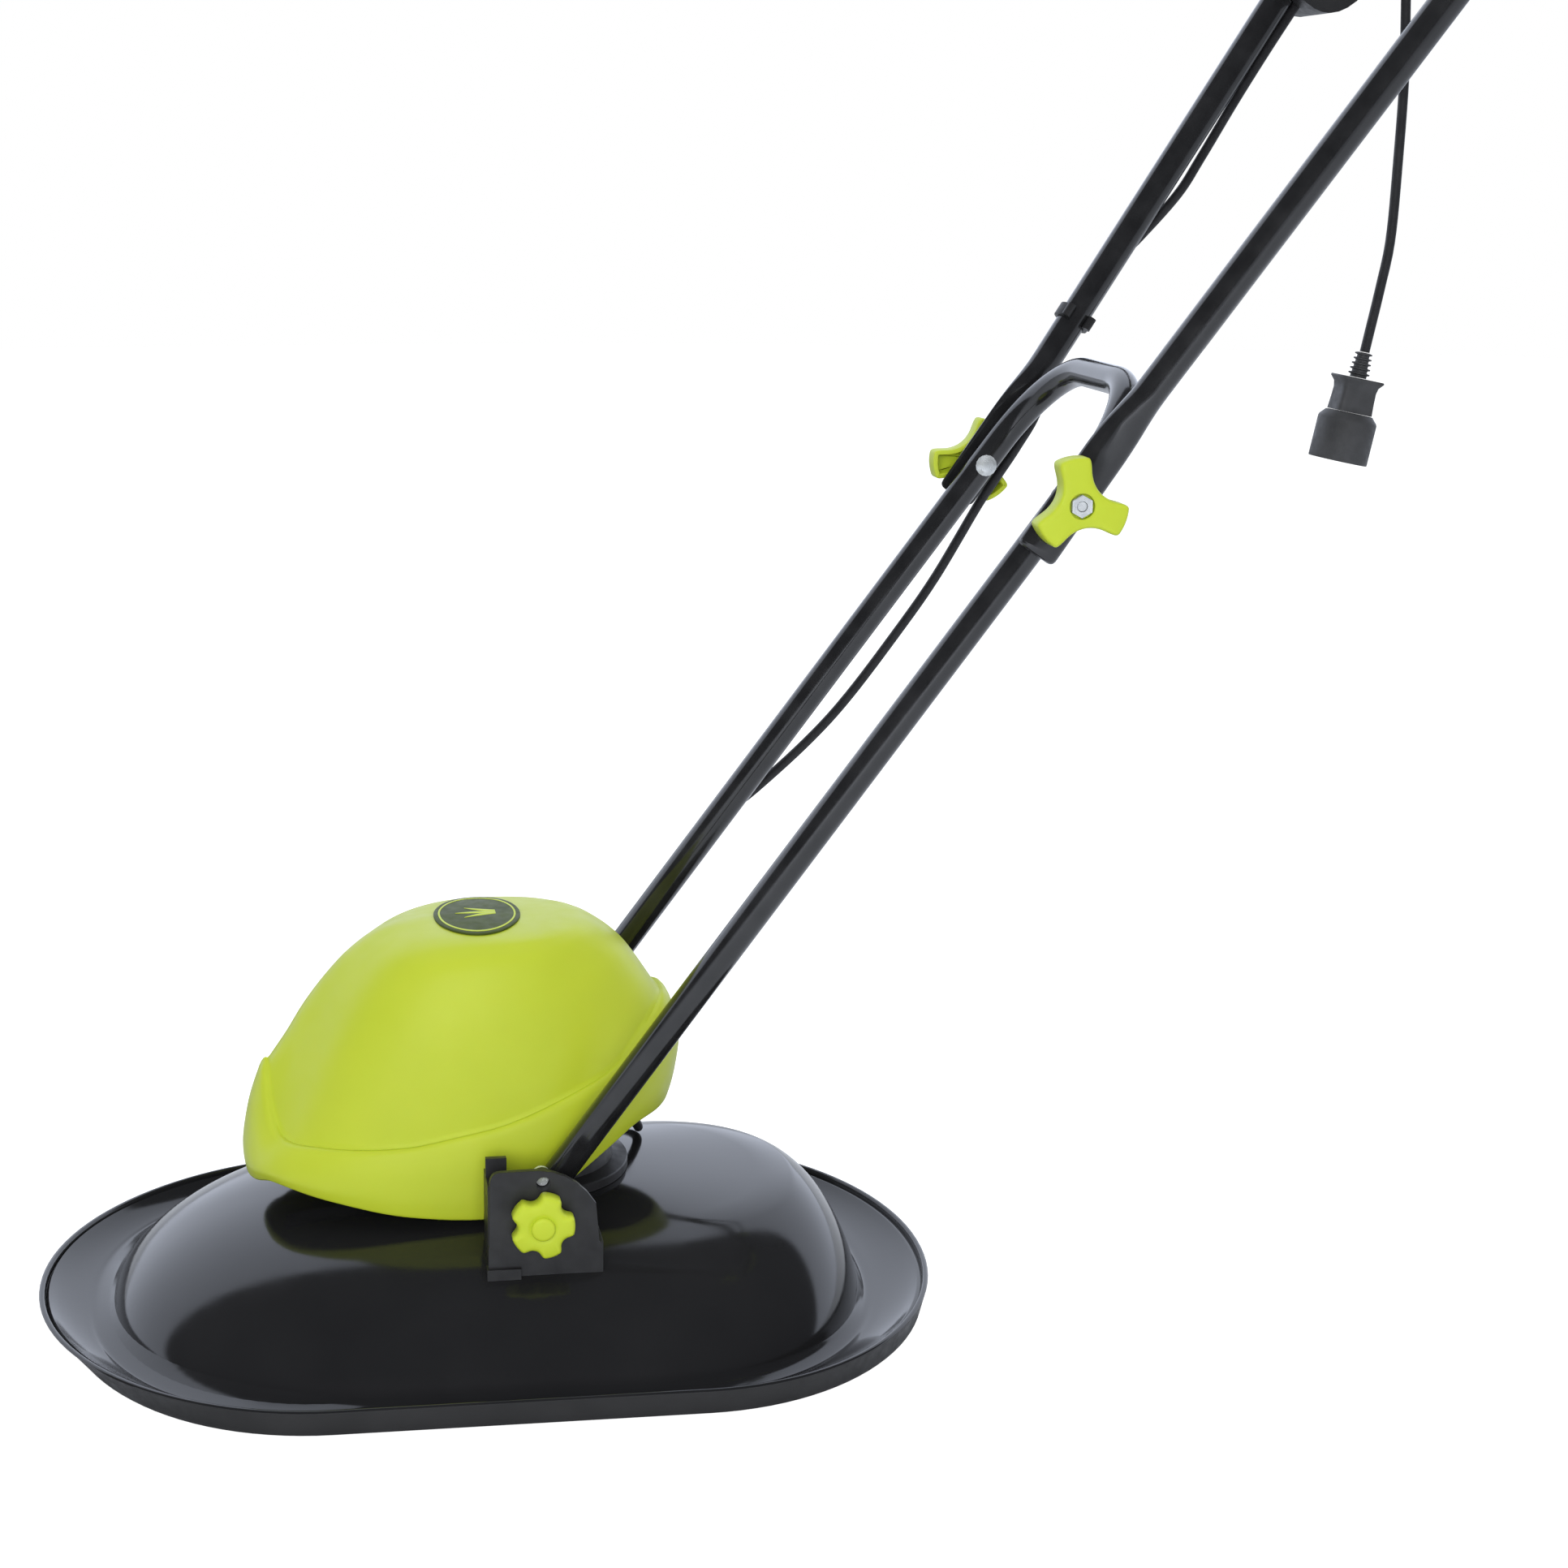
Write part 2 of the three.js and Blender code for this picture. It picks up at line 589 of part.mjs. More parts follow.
const LOWER_BEND = 64;
const LOWER_TOP = LEG_LENGTH + 84; // how far up the crossbar runs
const lowerRoute = [
  onLeg(16, 0, -LEG_Y),
  ...roundBend(onLeg, [LOWER_TOP - LOWER_BEND, LOWER_BEND - LEG_Y], LOWER_BEND, Math.PI, Math.PI / 2, 5),
  ...roundBend(onLeg, [LOWER_TOP - LOWER_BEND, LEG_Y - LOWER_BEND], LOWER_BEND, Math.PI / 2, 0, 5),
  onLeg(16, 0, LEG_Y),
];
const boltHole = rod([BOLT.x, -200, BOLT.z], [BOLT.x, 200, BOLT.z], 3 + GAP, 3 + GAP, 12);
part('lower_handle', solid(bar(lowerRoute, TUBE_R, { around: 12, bore: TUBE_R - WALL }))
  .subtract(solid(boltHole)), tubeBlack);

sides.forEach(([name, sign]) => {
  const hub = rod([PIVOT.x, 88, PIVOT.z], [PIVOT.x, 121.7, PIVOT.z], 11.5, 11.5, 28);
  const collar = rod(onLeg(0, 0, LEG_Y), onLeg(15.7, 0, LEG_Y), 9.3);
  const spigot = rod(onLeg(10, 0, LEG_Y), onLeg(42, 0, LEG_Y), 7.6);
  const bore = rod([PIVOT.x, 80, PIVOT.z], [PIVOT.x, 125, PIVOT.z], 4 + GAP);
  const headRoom = rod([PIVOT.x, 80, PIVOT.z], [PIVOT.x, 92.3, PIVOT.z], 7.8);
  const foot = [hub, collar, spigot, bore, headRoom].map((geometry) => onSide(sign, geometry));
  const body = join(...foot.slice(0, 3)).subtract(foot[3]).subtract(foot[4]);
  part(`handle_foot_${name}`, body, satinBlack);

  // Carriage bolt: a low round head inside the leg, the shank out through both tubes.
  const bolt = [[0, 84.6], [4.5, 85.2], [7.4, 87.2], [3, 87.2], [3, 130], [0, 130]];
  part(`clamp_bolt_${name}`, onSide(sign, turnedAcross(bolt, BOLT)), zinc);
});

// ---------------------------------------------------------------- upper handle
// Each flattened end lies against the outside of its leg, then swells into a round, splayed tube.
const UPPER_BEND = 60;
const UPPER_STRAIGHT = UPPER_LENGTH - UPPER_BEND; // where the bends to the crossbar begin
const FLAT = { low: -28, kink: 52, round: 78, half: 13.5, thick: 3.5 };
const splay = (up) => mix(101.8, UPPER_TOP_Y, up / UPPER_STRAIGHT);

// Sections of the end: place up the tube, half width, half thickness and middle across.
const END_SECTIONS = [
  [FLAT.low, FLAT.half, FLAT.thick, UPPER_FOOT_Y],
  [24, FLAT.half, FLAT.thick, UPPER_FOOT_Y],
  [FLAT.kink, 13, 5.4, UPPER_FOOT_Y],
  [(FLAT.kink + FLAT.round) / 2, 11.3, 8.2, UPPER_FOOT_Y + 0.8],
  [FLAT.round, 9.8, 9.8, splay(FLAT.round)],
  [FLAT.round + 6, 9.8, 9.8, splay(FLAT.round + 6)],
];

/** A ring of the end: nearly a flat bar when wide, a circle when as wide as it is thick. */
function endRing([up, halfWide, halfThick, across], inset) {
  const flatness = Math.min(1, halfWide / halfThick - 1);
  const bulge = (value, power) => Math.sign(value) * Math.abs(value) ** power;
  return circlePoints(1, 12).map(({ x, y }) => onUpper(
    up,
    (halfWide - inset) * bulge(x, 1 - 0.25 * flatness),
    across + (halfThick - inset) * bulge(y, 1 - 0.35 * flatness),
  ));
}

const upperEnd = loft([
  ...END_SECTIONS.map((section) => endRing(section, 0)),
  ...END_SECTIONS.slice().reverse().map((section) => endRing(section, WALL)),
]);

const upperRoute = [
  onUpper(FLAT.round, 0, -splay(FLAT.round)),
  ...roundBend(onUpper, [UPPER_STRAIGHT, UPPER_BEND - UPPER_TOP_Y], UPPER_BEND, Math.PI, Math.PI / 2, 5),
  ...roundBend(onUpper, [UPPER_STRAIGHT, UPPER_TOP_Y - UPPER_BEND], UPPER_BEND, Math.PI / 2, 0, 5),
  onUpper(FLAT.round, 0, splay(FLAT.round)),
];
part('upper_handle', join(
  solid(bar(upperRoute, UPPER_R, { around: 12, bore: UPPER_R - WALL })),
  onSide(-1, upperEnd),
  onSide(1, upperEnd),
).subtract(solid(boltHole)), tubeBlack);

const GRIP = { half: 92, radius: 15 };
part('grip', bar([onUpper(UPPER_LENGTH, 0, -GRIP.half), onUpper(UPPER_LENGTH, 0, GRIP.half)], GRIP.radius, {
  around: 20,
  bore: UPPER_R + GAP,
}), foam);

// Three-lobed clamp knobs: hollow behind, with a hexagon nut sunk in the face.
const WING = { inner: 115.4, outer: 131, reach: 29.5, skin: 3.5, hub: 8.5, nut: 7.2, recess: 8.6 };

function wingOutline(size, turn) {
  const shape = new THREE.Shape();
  const half = THREE.MathUtils.degToRad(21);
  [0, 120, 240].forEach((degrees, i) => {
    const middle = THREE.MathUtils.degToRad(turn + degrees);
    const deep = middle + Math.PI / 3;
    const next = middle + (2 * Math.PI) / 3 - half;
    if (i === 0) shape.moveTo(size * Math.cos(middle - half), size * Math.sin(middle - half));
    shape.absarc(0, 0, size, middle - half, middle + half, false);
    shape.quadraticCurveTo(
      size * 0.16 * Math.cos(deep), size * 0.16 * Math.sin(deep),
      size * Math.cos(next), size * Math.sin(next),
    );
  });
  return shape;
}

// Each knob stands as its thread left it, with its first lobe turned to an angle of its own.
sides.forEach(([name, sign]) => {
  const turn = sign < 0 ? 100 : 65;
  const place = (geometry) => onSide(sign, geometry.translate(BOLT.x, 0, BOLT.z));
  const shell = place(plate(wingOutline(WING.reach, turn), WING.inner, WING.outer));
  const hollow = place(plate(wingOutline(WING.reach - WING.skin, turn), WING.inner - 1, WING.outer - 5));
  const hub = place(rod([0, WING.inner, 0], [0, WING.outer - 3, 0], WING.hub));
  const recess = place(rod([0, WING.outer - 4, 0], [0, WING.outer + 1, 0], WING.recess));
  const bore = place(rod([0, WING.inner - 1, 0], [0, WING.outer + 1, 0], 3 + GAP, 3 + GAP, 12));
  part(`clamp_knob_${name}`, join(shell.subtract(hollow), hub).subtract(recess).subtract(bore), lime);
  const nut = place(rod([0, WING.outer - 3.7, 0], [0, WING.outer - 0.2, 0], WING.nut, WING.nut, 6));
  part(`clamp_nut_${name}`, nut.subtract(bore), zinc);
});

// ---------------------------------------------------------------- switch box, lever and lock button
const BOX = { low: 386, high: 500, front: -15, rear: 42, inner: 127, split: 157, outer: 182 };
const boxOutline = new THREE.Shape();
boxOutline.moveTo(BOX.low, BOX.front + 6);
boxOutline.lineTo(BOX.low, 18);
boxOutline.quadraticCurveTo(BOX.low + 2, BOX.rear - 4, BOX.low + 30, BOX.rear);
boxOutline.lineTo(BOX.high - 12, BOX.rear);
boxOutline.quadraticCurveTo(BOX.high, BOX.rear, BOX.high, BOX.rear - 12);
boxOutline.lineTo(BOX.high, BOX.front + 6);
boxOutline.quadraticCurveTo(BOX.high, BOX.front, BOX.high - 6, BOX.front);
boxOutline.lineTo(BOX.low + 6, BOX.front);
boxOutline.quadraticCurveTo(BOX.low, BOX.front, BOX.low, BOX.front + 6);

/** A plate drawn in the upper handle's [up, behind] plane, between two places across. */
function upperPlate(outline, yLow, yHigh) {
  const shape = outline instanceof THREE.Shape ? outline : polygon(outline);
  const depth = yHigh - yLow;
  const flat = new THREE.ExtrudeGeometry(shape, { depth, bevelEnabled: false, curveSegments: 6 });
  const up = new THREE.Vector3(Math.cos(UPPER_ANGLE), 0, Math.sin(UPPER_ANGLE));
  const behind = new THREE.Vector3(Math.sin(UPPER_ANGLE), 0, -Math.cos(UPPER_ANGLE));
  const across = new THREE.Vector3(0, 1, 0);
  const turn = new THREE.Matrix4().makeBasis(up, behind, across);
  return flat.applyMatrix4(turn.setPosition(BOLT.x, yLow, BOLT.z));
}

const tubeRoom = solid(bar([
  onUpper(BOX.low - 40, 0, splay(BOX.low - 40)),
  ...roundBend(onUpper, [UPPER_STRAIGHT, UPPER_TOP_Y - UPPER_BEND], UPPER_BEND, 0, Math.PI / 4, 4),
], UPPER_R + GAP + 0.2, { around: 20 }));
const OUTLET = { x: 650, y: 138, low: 893, bore: 5.3, radius: 9.5 };
const outletAt = (z) => [OUTLET.x, OUTLET.y, z];
const outletRod = (low, high, radius) => solid(rod(outletAt(low), outletAt(high), radius));
const outletBoss = outletRod(OUTLET.low, OUTLET.low + 35, OUTLET.radius);
const outletBore = join(
  outletRod(870, OUTLET.low, OUTLET.radius),
  outletRod(870, OUTLET.low + 8, OUTLET.bore),
);
const outletRoom = outletRod(870, OUTLET.low + 38, OUTLET.radius + GAP);
const BUTTON = { up: 436, behind: 24, radius: 6 };
const buttonAt = (across) => onUpper(BUTTON.up, BUTTON.behind, across);
const LEVER = { up: 478, behind: 30, endUp: 561, endBehind: 42, bar: 6, far: -40 };
const leverAt = (across) => onUpper(LEVER.up, LEVER.behind, across);
const leverEnd = (across) => onUpper(LEVER.endUp, LEVER.endBehind, across);
const buttonRoom = solid(rod(buttonAt(BOX.inner - 1), buttonAt(BOX.inner + 12), BUTTON.radius + 0.4));
const pinRoom = solid(rod(leverAt(BOX.inner - 1), leverAt(BOX.inner + 12), 5.4));
const pocketOutline = [[402, 14], [468, 14], [468, 38], [412, 38]];
part('switch_box', join(solid(upperPlate(boxOutline, BOX.inner, BOX.split)), outletBoss)
  .subtract(tubeRoom).subtract(outletBore).subtract(buttonRoom).subtract(pinRoom)
  .subtract(solid(upperPlate(pocketOutline, BOX.inner + 13, BOX.split + 1))), satinBlack);
part('switch_box_lid', solid(upperPlate(boxOutline, BOX.split + GAP, BOX.outer))
  .subtract(tubeRoom).subtract(outletRoom)
  .subtract(solid(upperPlate(pocketOutline, BOX.split - 1, BOX.outer - 3))), satinBlack);
const switchOutline = [[424, 16], [448, 16], [448, 34], [424, 34]];
part('microswitch', upperPlate(switchOutline, BOX.inner + 13.3, BOX.split - 2), satinBlack);
part('lock_button', rod(buttonAt(BOX.inner - 6), buttonAt(BOX.inner + 7), BUTTON.radius), lime);

// The lever turns in the box and its bar runs across behind the grip.
part('switch_lever', join(
  solid(rod(leverAt(112), leverAt(BOX.inner + 11), 5)),
  solid(rod(leverAt(112), leverAt(BOX.inner - GAP), 9.5)),
  solid(rod(leverAt(119), leverEnd(119), 6.5)),
  solid(rod(leverEnd(123), leverEnd(LEVER.far), LEVER.bar)),
), lime);

// ---------------------------------------------------------------- motor cable
const CABLE_R = 3.25;
const CABLE_Y = 110.4; // beside the leg
// The cable passes onto the handle along a line parallel to the pivot, so its two ends turn face to face.
const cableSplit = (across) => [69, across, 99];
part('motor_cable_base', bar([...smooth([
  [80, 26, 127], [86, 30, 119], [93, 34, 108], [99, 40, 96], [103, 50, 86.5], [103, 64, 84], [98, 80, 83.5],
  [90, 90, 85], [81, 97, 89], [74, 101, 94.5], [70, 104.5, 98], cableSplit(107),
], 20), cableSplit(109.5)], CABLE_R, { around: 8 }), rubber);

const legCable = [
  [100, 0, 111.5], [130, 0], [200, 0], [240, 4], [272, 13], [323, 23], [366, 27], [430, 27], [465, 25.5],
  [497, 22], [517, 19.5],
];
part('motor_cable_lower', bar([cableSplit(109.5 + GAP), ...smooth([
  cableSplit(113), [69.2, 117, 101.5], [70, 118.5, 108], [71.5, 117.5, 118], [74, 115, 132],
  ...legCable.map(([up, behind, across = CABLE_Y]) => onLeg(up, behind, across)),
], 34)], CABLE_R, { around: 8 }), rubber);

const besideUpper = (up, behind, outward) => onUpper(up, behind, splay(up) + outward);
part('motor_cable_upper', bar(smooth([
  onLeg(517.3, 19.5, CABLE_Y), onLeg(530, 18.3, CABLE_Y), onUpper(0, 17.5, CABLE_Y),
  onUpper(25, 17, CABLE_Y),
  onUpper(52, 15.5, 114), besideUpper(85, 6, 12.4), besideUpper(119, 3, 13.4), besideUpper(160, 5, 13),
  besideUpper(191, 11, 9), besideUpper(231, 16, 3), besideUpper(261, 16, 3), besideUpper(308, 14.5, 3),
  besideUpper(350, 13.5, 1), besideUpper(BOX.low - 4, 13.5, 0), besideUpper(BOX.low - 0.6, 13.5, 0),
], 34), CABLE_R, { around: 8 }), rubber);

// A snap clip open towards the left, its two ends thickened, with an eye for the cable.
const CLIP = { up: 119, wall: 2.5, half: 4.5, eye: [3, 13.4] };
const clipRing = (inner, outer) =>
  turned([[inner, -CLIP.half], [outer, -CLIP.half], [outer, CLIP.half], [inner, CLIP.half]], 20);
const clipRod = ([x, y], radius, half) => solid(rod([x, y, -half], [x, y, half], radius, radius, 14));
const clip = join(
  solid(clipRing(UPPER_R + GAP, UPPER_R + GAP + CLIP.wall))
    .subtract(solid(block([-7.5, -20, -10], [7.5, -5, 10]))),
  solid(clipRing(CABLE_R + 0.6, CABLE_R + CLIP.wall).translate(...CLIP.eye, 0)),
  clipRod([-8.6, -9.6], 3, CLIP.half),
  clipRod([8.6, -9.6], 3, CLIP.half),
).subtract(clipRod(CLIP.eye, CABLE_R + 0.6, 10)).subtract(clipRod([0, 0], UPPER_R + GAP, 10));
const clipUp = new THREE.Vector3(...besideUpper(200, 0, 0))
  .sub(new THREE.Vector3(...besideUpper(100, 0, 0)))
  .normalize();
const clipRear = new THREE.Vector3(Math.sin(UPPER_ANGLE), 0, -Math.cos(UPPER_ANGLE));
const clipOut = new THREE.Vector3().crossVectors(clipUp, clipRear);
part('cable_clip', toGeometry(clip).applyMatrix4(
  new THREE.Matrix4().makeBasis(clipRear, clipOut, clipUp).setPosition(...besideUpper(CLIP.up, 0, 0)),
), satinBlack);

// ---------------------------------------------------------------- pigtail cord and plug
// The cord hangs straight from its strain relief and ends in a shrouded plug.
const CORD_R = 3.4;
part('cord_relief', turned([
  [0, 862], [4.2, 862], [6, 885], [8.4, 886], [8.4, 892.6], [5, 892.6], [5, 900], [0, 900],
], 20).translate(OUTLET.x, OUTLET.y, 0), rubber);
part('pigtail_cord', bar(smooth([
  [650, 138, 861.7], [651, 137.5, 826], [651.4, 136.5, 790], [649.5, 135.5, 739], [646.5, 135, 683],
  [640.5, 135, 648], [633.5, 135, 614], [631.3, 135, 603.3],
], 18), CORD_R, { around: 8 }), rubber);

// The plug hangs slightly tilted below the end of the cord.
const PLUG = { top: [631, 135, 603], tilt: THREE.MathUtils.degToRad(12) };
const plugTurned = (profile, steps = 24) => turned(profile, steps).rotateY(PLUG.tilt).translate(...PLUG.top);
const ribs = [0, 1, 2, 3].flatMap((i) => {
  const z = -2 - 4 * i;
  return [[6.6, z], [6.6, z - 2], [4.8, z - 2], [4.8, z - 4]];
});
part('plug_relief', plugTurned([[0, -0.1], [5.4, -0.1], ...ribs, [0, -18]], 14), rubber);
part('plug_body', plugTurned([
  [0, -18.3], [12, -18.3], [15.5, -20], [15.5, -26], [14, -29], [14, -43], [0, -43],
]), rubber);
part('plug_shroud', plugTurned([
  [17.8, -46], [20.5, -43.3], [20.5, -78], [18, -78], [18, -56], [0, -56], [0, -43.3], [15, -43.3],
]), rubber);
const prong = (across) => solid(block([-2, across - 1.2, -76], [2, across + 1.2, -58]));
part('plug_insert', toGeometry(join(
  solid(turned([[0, -56.3], [17.6, -56.3], [17.6, -60], [0, -60]], 28)),
  prong(-6),
  prong(6),
)).rotateY(PLUG.tilt).translate(...PLUG.top), zinc);

export default group;
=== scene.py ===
import json
import math

import bmesh
import bpy
from mathutils import Matrix, Vector
from mathutils.bvhtree import BVHTree


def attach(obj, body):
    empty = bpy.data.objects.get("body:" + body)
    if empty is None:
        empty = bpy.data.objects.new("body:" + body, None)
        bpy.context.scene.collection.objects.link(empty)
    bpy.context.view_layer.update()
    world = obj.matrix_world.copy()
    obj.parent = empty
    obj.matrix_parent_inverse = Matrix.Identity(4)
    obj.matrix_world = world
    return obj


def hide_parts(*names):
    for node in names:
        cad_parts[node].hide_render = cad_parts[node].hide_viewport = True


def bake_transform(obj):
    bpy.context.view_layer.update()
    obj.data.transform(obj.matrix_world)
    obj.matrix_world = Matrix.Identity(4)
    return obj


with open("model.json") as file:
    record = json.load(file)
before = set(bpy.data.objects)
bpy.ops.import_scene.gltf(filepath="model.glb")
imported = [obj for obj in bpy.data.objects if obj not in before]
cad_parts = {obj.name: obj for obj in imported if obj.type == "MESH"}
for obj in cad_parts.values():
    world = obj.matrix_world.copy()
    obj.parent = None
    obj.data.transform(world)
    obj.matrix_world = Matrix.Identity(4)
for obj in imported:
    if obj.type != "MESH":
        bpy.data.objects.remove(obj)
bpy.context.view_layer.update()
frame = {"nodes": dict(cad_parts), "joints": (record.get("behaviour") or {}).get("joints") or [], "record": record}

JOINTS = {joint["name"]: joint for joint in frame["joints"]}
PIVOT_X = 18.5
HOOD_X = JOINTS["handle_fold"]["pos_m"][0] - PIVOT_X / 1000
PIVOT_Z = JOINTS["handle_fold"]["pos_m"][2] * 1000
BOLT_X = (JOINTS["upper_fold"]["pos_m"][0] - HOOD_X) * 1000
BOLT_Z = JOINTS["upper_fold"]["pos_m"][2] * 1000


def at(x, y, z):
    """A place on the mower in the frame's metres."""
    return Vector((HOOD_X + x / 1000, y / 1000, z / 1000))


def mix(a, b, share):
    return a + (b - a) * share


def arc(start, end, count):
    """Evenly spaced values from start to end, both included."""
    return [mix(start, end, i / count) for i in range(count + 1)]


def full_turn(count):
    """Evenly spaced angles once round."""
    return [2 * math.pi * k / count for k in range(count)]


# ---------------------------------------------------------------- camera
CAMERA_YAW, CAMERA_PITCH = -0.124, 0.165  # radians
CAMERA_PLACE = (-137.1, -1668.9, 739.4)
CAMERA_LENS, CAMERA_SENSOR = 61.2, 36  # millimetres
CAMERA_SHIFT = (0.117, -0.117)


def make_camera():
    yaw, pitch = CAMERA_YAW, CAMERA_PITCH
    right = Vector((math.cos(yaw), math.sin(yaw), 0))
    level = math.cos(pitch)
    back = Vector((math.sin(yaw) * level, -math.cos(yaw) * level, math.sin(pitch)))
    data = bpy.data.cameras.new("camera")
    data.sensor_width = CAMERA_SENSOR
    data.lens = CAMERA_LENS
    data.shift_x, data.shift_y = CAMERA_SHIFT
    data.clip_start, data.clip_end = 0.05, 100
    camera = bpy.data.objects.new("camera", data)
    bpy.context.scene.collection.objects.link(camera)
    turn = Matrix((right, back.cross(right), back)).transposed()
    camera.matrix_world = Matrix.Translation(at(*CAMERA_PLACE)) @ turn.to_4x4()
    bpy.context.scene.camera = camera


make_camera()


# ---------------------------------------------------------------- materials
class Look:
    """A material: values on the shader's own sockets, and nodes for what varies over the surface."""

    def __init__(self, name, **values):
        self.material = bpy.data.materials.new(name)
        self.material.use_nodes = True
        self.tree = self.material.node_tree
        self.shader = self.tree.nodes["Principled BSDF"]
        for socket, value in values.items():
            self.shader.inputs[socket.replace("_", " ")].default_value = value
        self.place = self.node("ShaderNodeTexCoord").outputs["Object"]

    def node(self, kind, **settings):
        made = self.tree.nodes.new(kind)
        for key, value in settings.items():
            if key[0].isupper():
                made.inputs[key.replace("_", " ")].default_value = value
            else:
                setattr(made, key, value)
        return made

    def link(self, output, target):
        self.tree.links.new(output, target)

    def noise(self, scale, detail=3.0, stretch=None, roughness=0.5):
        """Noise from 0 to 1; scale is in cycles per metre."""
        noise = self.node("ShaderNodeTexNoise", Scale=scale, Detail=detail, Roughness=roughness)
        place = self.place
        if stretch:
            mapping = self.node("ShaderNodeMapping", Scale=stretch)
            self.link(place, mapping.inputs["Vector"])
            place = mapping.outputs["Vector"]
        self.link(place, noise.inputs["Vector"])
        return noise.outputs["Fac"]

    def spread(self, value, low, high, start=0.3, end=0.7):
        """Maps the middle of a pattern onto the range low to high."""
        ramp = self.node("ShaderNodeMapRange", From_Min=start, From_Max=end, To_Min=low, To_Max=high)
        self.link(value, ramp.inputs["Value"])
        return ramp.outputs["Result"]

    def colours(self, value, first, second, start=0.3, end=0.7):
        blend = self.node("ShaderNodeMix", data_type="RGBA")
        blend.inputs["A"].default_value = (*first, 1)
        blend.inputs["B"].default_value = (*second, 1)
        self.link(self.spread(value, 0, 1, start, end), blend.inputs["Factor"])
        return blend.outputs["Result"]

    def paint(self, output):
        self.link(output, self.shader.inputs["Base Color"])

    def rough(self, value, low, high):
        self.link(self.spread(value, low, high), self.shader.inputs["Roughness"])

    def bump(self, value, depth, strength=1.0):
        """Relief of the given depth in metres."""
        bump = self.node("ShaderNodeBump", Distance=depth, Strength=strength)
        self.link(value, bump.inputs["Height"])
        self.link(bump.outputs["Normal"], self.shader.inputs["Normal"])


def gloss_plastic():
    look = Look("gloss_black_plastic", Specular_IOR_Level=0.5)
    look.paint(look.colours(look.noise(9), (0.0105, 0.0105, 0.0112), (0.0150, 0.0150, 0.0157)))
    look.rough(look.noise(40, detail=6), 0.085, 0.15)
    look.bump(look.noise(95, detail=2), 0.00006, 0.35)
    return look.material


def rim_plastic():
    look = Look("satin_rim_plastic", Specular_IOR_Level=0.24)
    look.paint(look.colours(look.noise(30, detail=6), (0.020, 0.020, 0.0205), (0.028, 0.028, 0.029)))
    look.rough(look.noise(120, detail=8), 0.36, 0.56)
    look.bump(look.noise(700, detail=4), 0.00008, 0.4)
    return look.material


def satin_plastic(name="satin_black_plastic", dark=(0.014, 0.014, 0.015), light=(0.024, 0.024, 0.025)):
    look = Look(name, Specular_IOR_Level=0.45)
    look.paint(look.colours(look.noise(45, detail=6), dark, light))
    look.rough(look.noise(150, detail=6), 0.36, 0.52)
    look.bump(look.noise(1300, detail=3), 0.00006, 0.5)
    return look.material


def lime_plastic(name, dark, light, sheen_rough):
    look = Look(name, Specular_IOR_Level=0.5, Subsurface_Weight=0.04, Subsurface_Scale=0.004)
    look.paint(look.colours(look.noise(14, detail=5), dark, light))
    look.rough(look.noise(90, detail=6), sheen_rough, sheen_rough + 0.09)
    look.bump(look.noise(1500, detail=3), 0.00004, 0.5)
    return look.material


def tube_paint():
    look = Look("gloss_tube_paint", Specular_IOR_Level=0.55, Coat_Weight=0.3, Coat_Roughness=0.08)
    look.paint(look.colours(look.noise(60, detail=6), (0.009, 0.009, 0.0095), (0.017, 0.017, 0.018)))
    look.rough(look.noise(60, detail=5), 0.13, 0.2)
    look.bump(look.noise(160, detail=2), 0.00002, 0.4)
    return look.material


def rubber(name="cord_rubber", dark=(0.038, 0.039, 0.041), light=(0.054, 0.055, 0.059)):
    look = Look(name, Specular_IOR_Level=0.4)
    look.paint(look.colours(look.noise(80, detail=5), dark, light))
    look.rough(look.noise(220, detail=5), 0.42, 0.58)
    look.bump(look.noise(1100, detail=3), 0.00006, 0.5)
    return look.material


def bright_metal(name, dark, light, low, high, stretch=None, metallic=1.0):
    look = Look(name, Metallic=metallic)
    look.paint(look.colours(look.noise(110, detail=7), dark, light))
    look.rough(look.noise(300, detail=6, stretch=stretch), low, high)
    look.bump(look.noise(900, detail=4, stretch=stretch), 0.00003, 0.5)
    return look.material


def foam():
    look = Look("foam", Specular_IOR_Level=0.25)
    look.paint(look.colours(look.noise(500, detail=4), (0.010, 0.010, 0.010), (0.028, 0.028, 0.028)))
    look.rough(look.noise(300), 0.8, 0.95)
    look.bump(look.noise(1400, detail=2), 0.0003, 0.6)
    return look.material


def banded_metal(name, dark, light, bands, axis="Z"):
    """Sheet stacks and windings: fine bands along one axis."""
    look = Look(name, Metallic=0.9)
    wave = look.node("ShaderNodeTexWave", Scale=bands, Distortion=0.6, bands_direction=axis)
    look.link(look.place, wave.inputs["Vector"])
    look.paint(look.colours(wave.outputs["Fac"], dark, light))
    look.rough(look.noise(200, detail=5), 0.3, 0.5)
    look.bump(wave.outputs["Fac"], 0.0002, 0.5)
    return look.material


GLOSS = gloss_plastic()
RIM_SATIN = rim_plastic()
SATIN = satin_plastic()
LIME = lime_plastic("lime_cover_plastic", (0.440, 0.525, 0.024), (0.475, 0.560, 0.030), 0.36)
LIME_KNOB = lime_plastic("lime_knob_plastic", (0.465, 0.565, 0.024), (0.510, 0.615, 0.033), 0.40)
PAINT = tube_paint()
RUBBER = rubber()
CABLE = rubber("cable_jacket", (0.014, 0.014, 0.016), (0.022, 0.022, 0.024))
ZINC = bright_metal("zinc_plate", (0.50, 0.53, 0.55), (0.80, 0.83, 0.85), 0.16, 0.32, metallic=0.45)
STEEL = bright_metal("ground_steel", (0.30, 0.31, 0.32), (0.46, 0.47, 0.48), 0.25, 0.45, (1, 6, 6))
STACK = banded_metal("steel_sheets", (0.16, 0.16, 0.17), (0.34, 0.34, 0.36), 700)
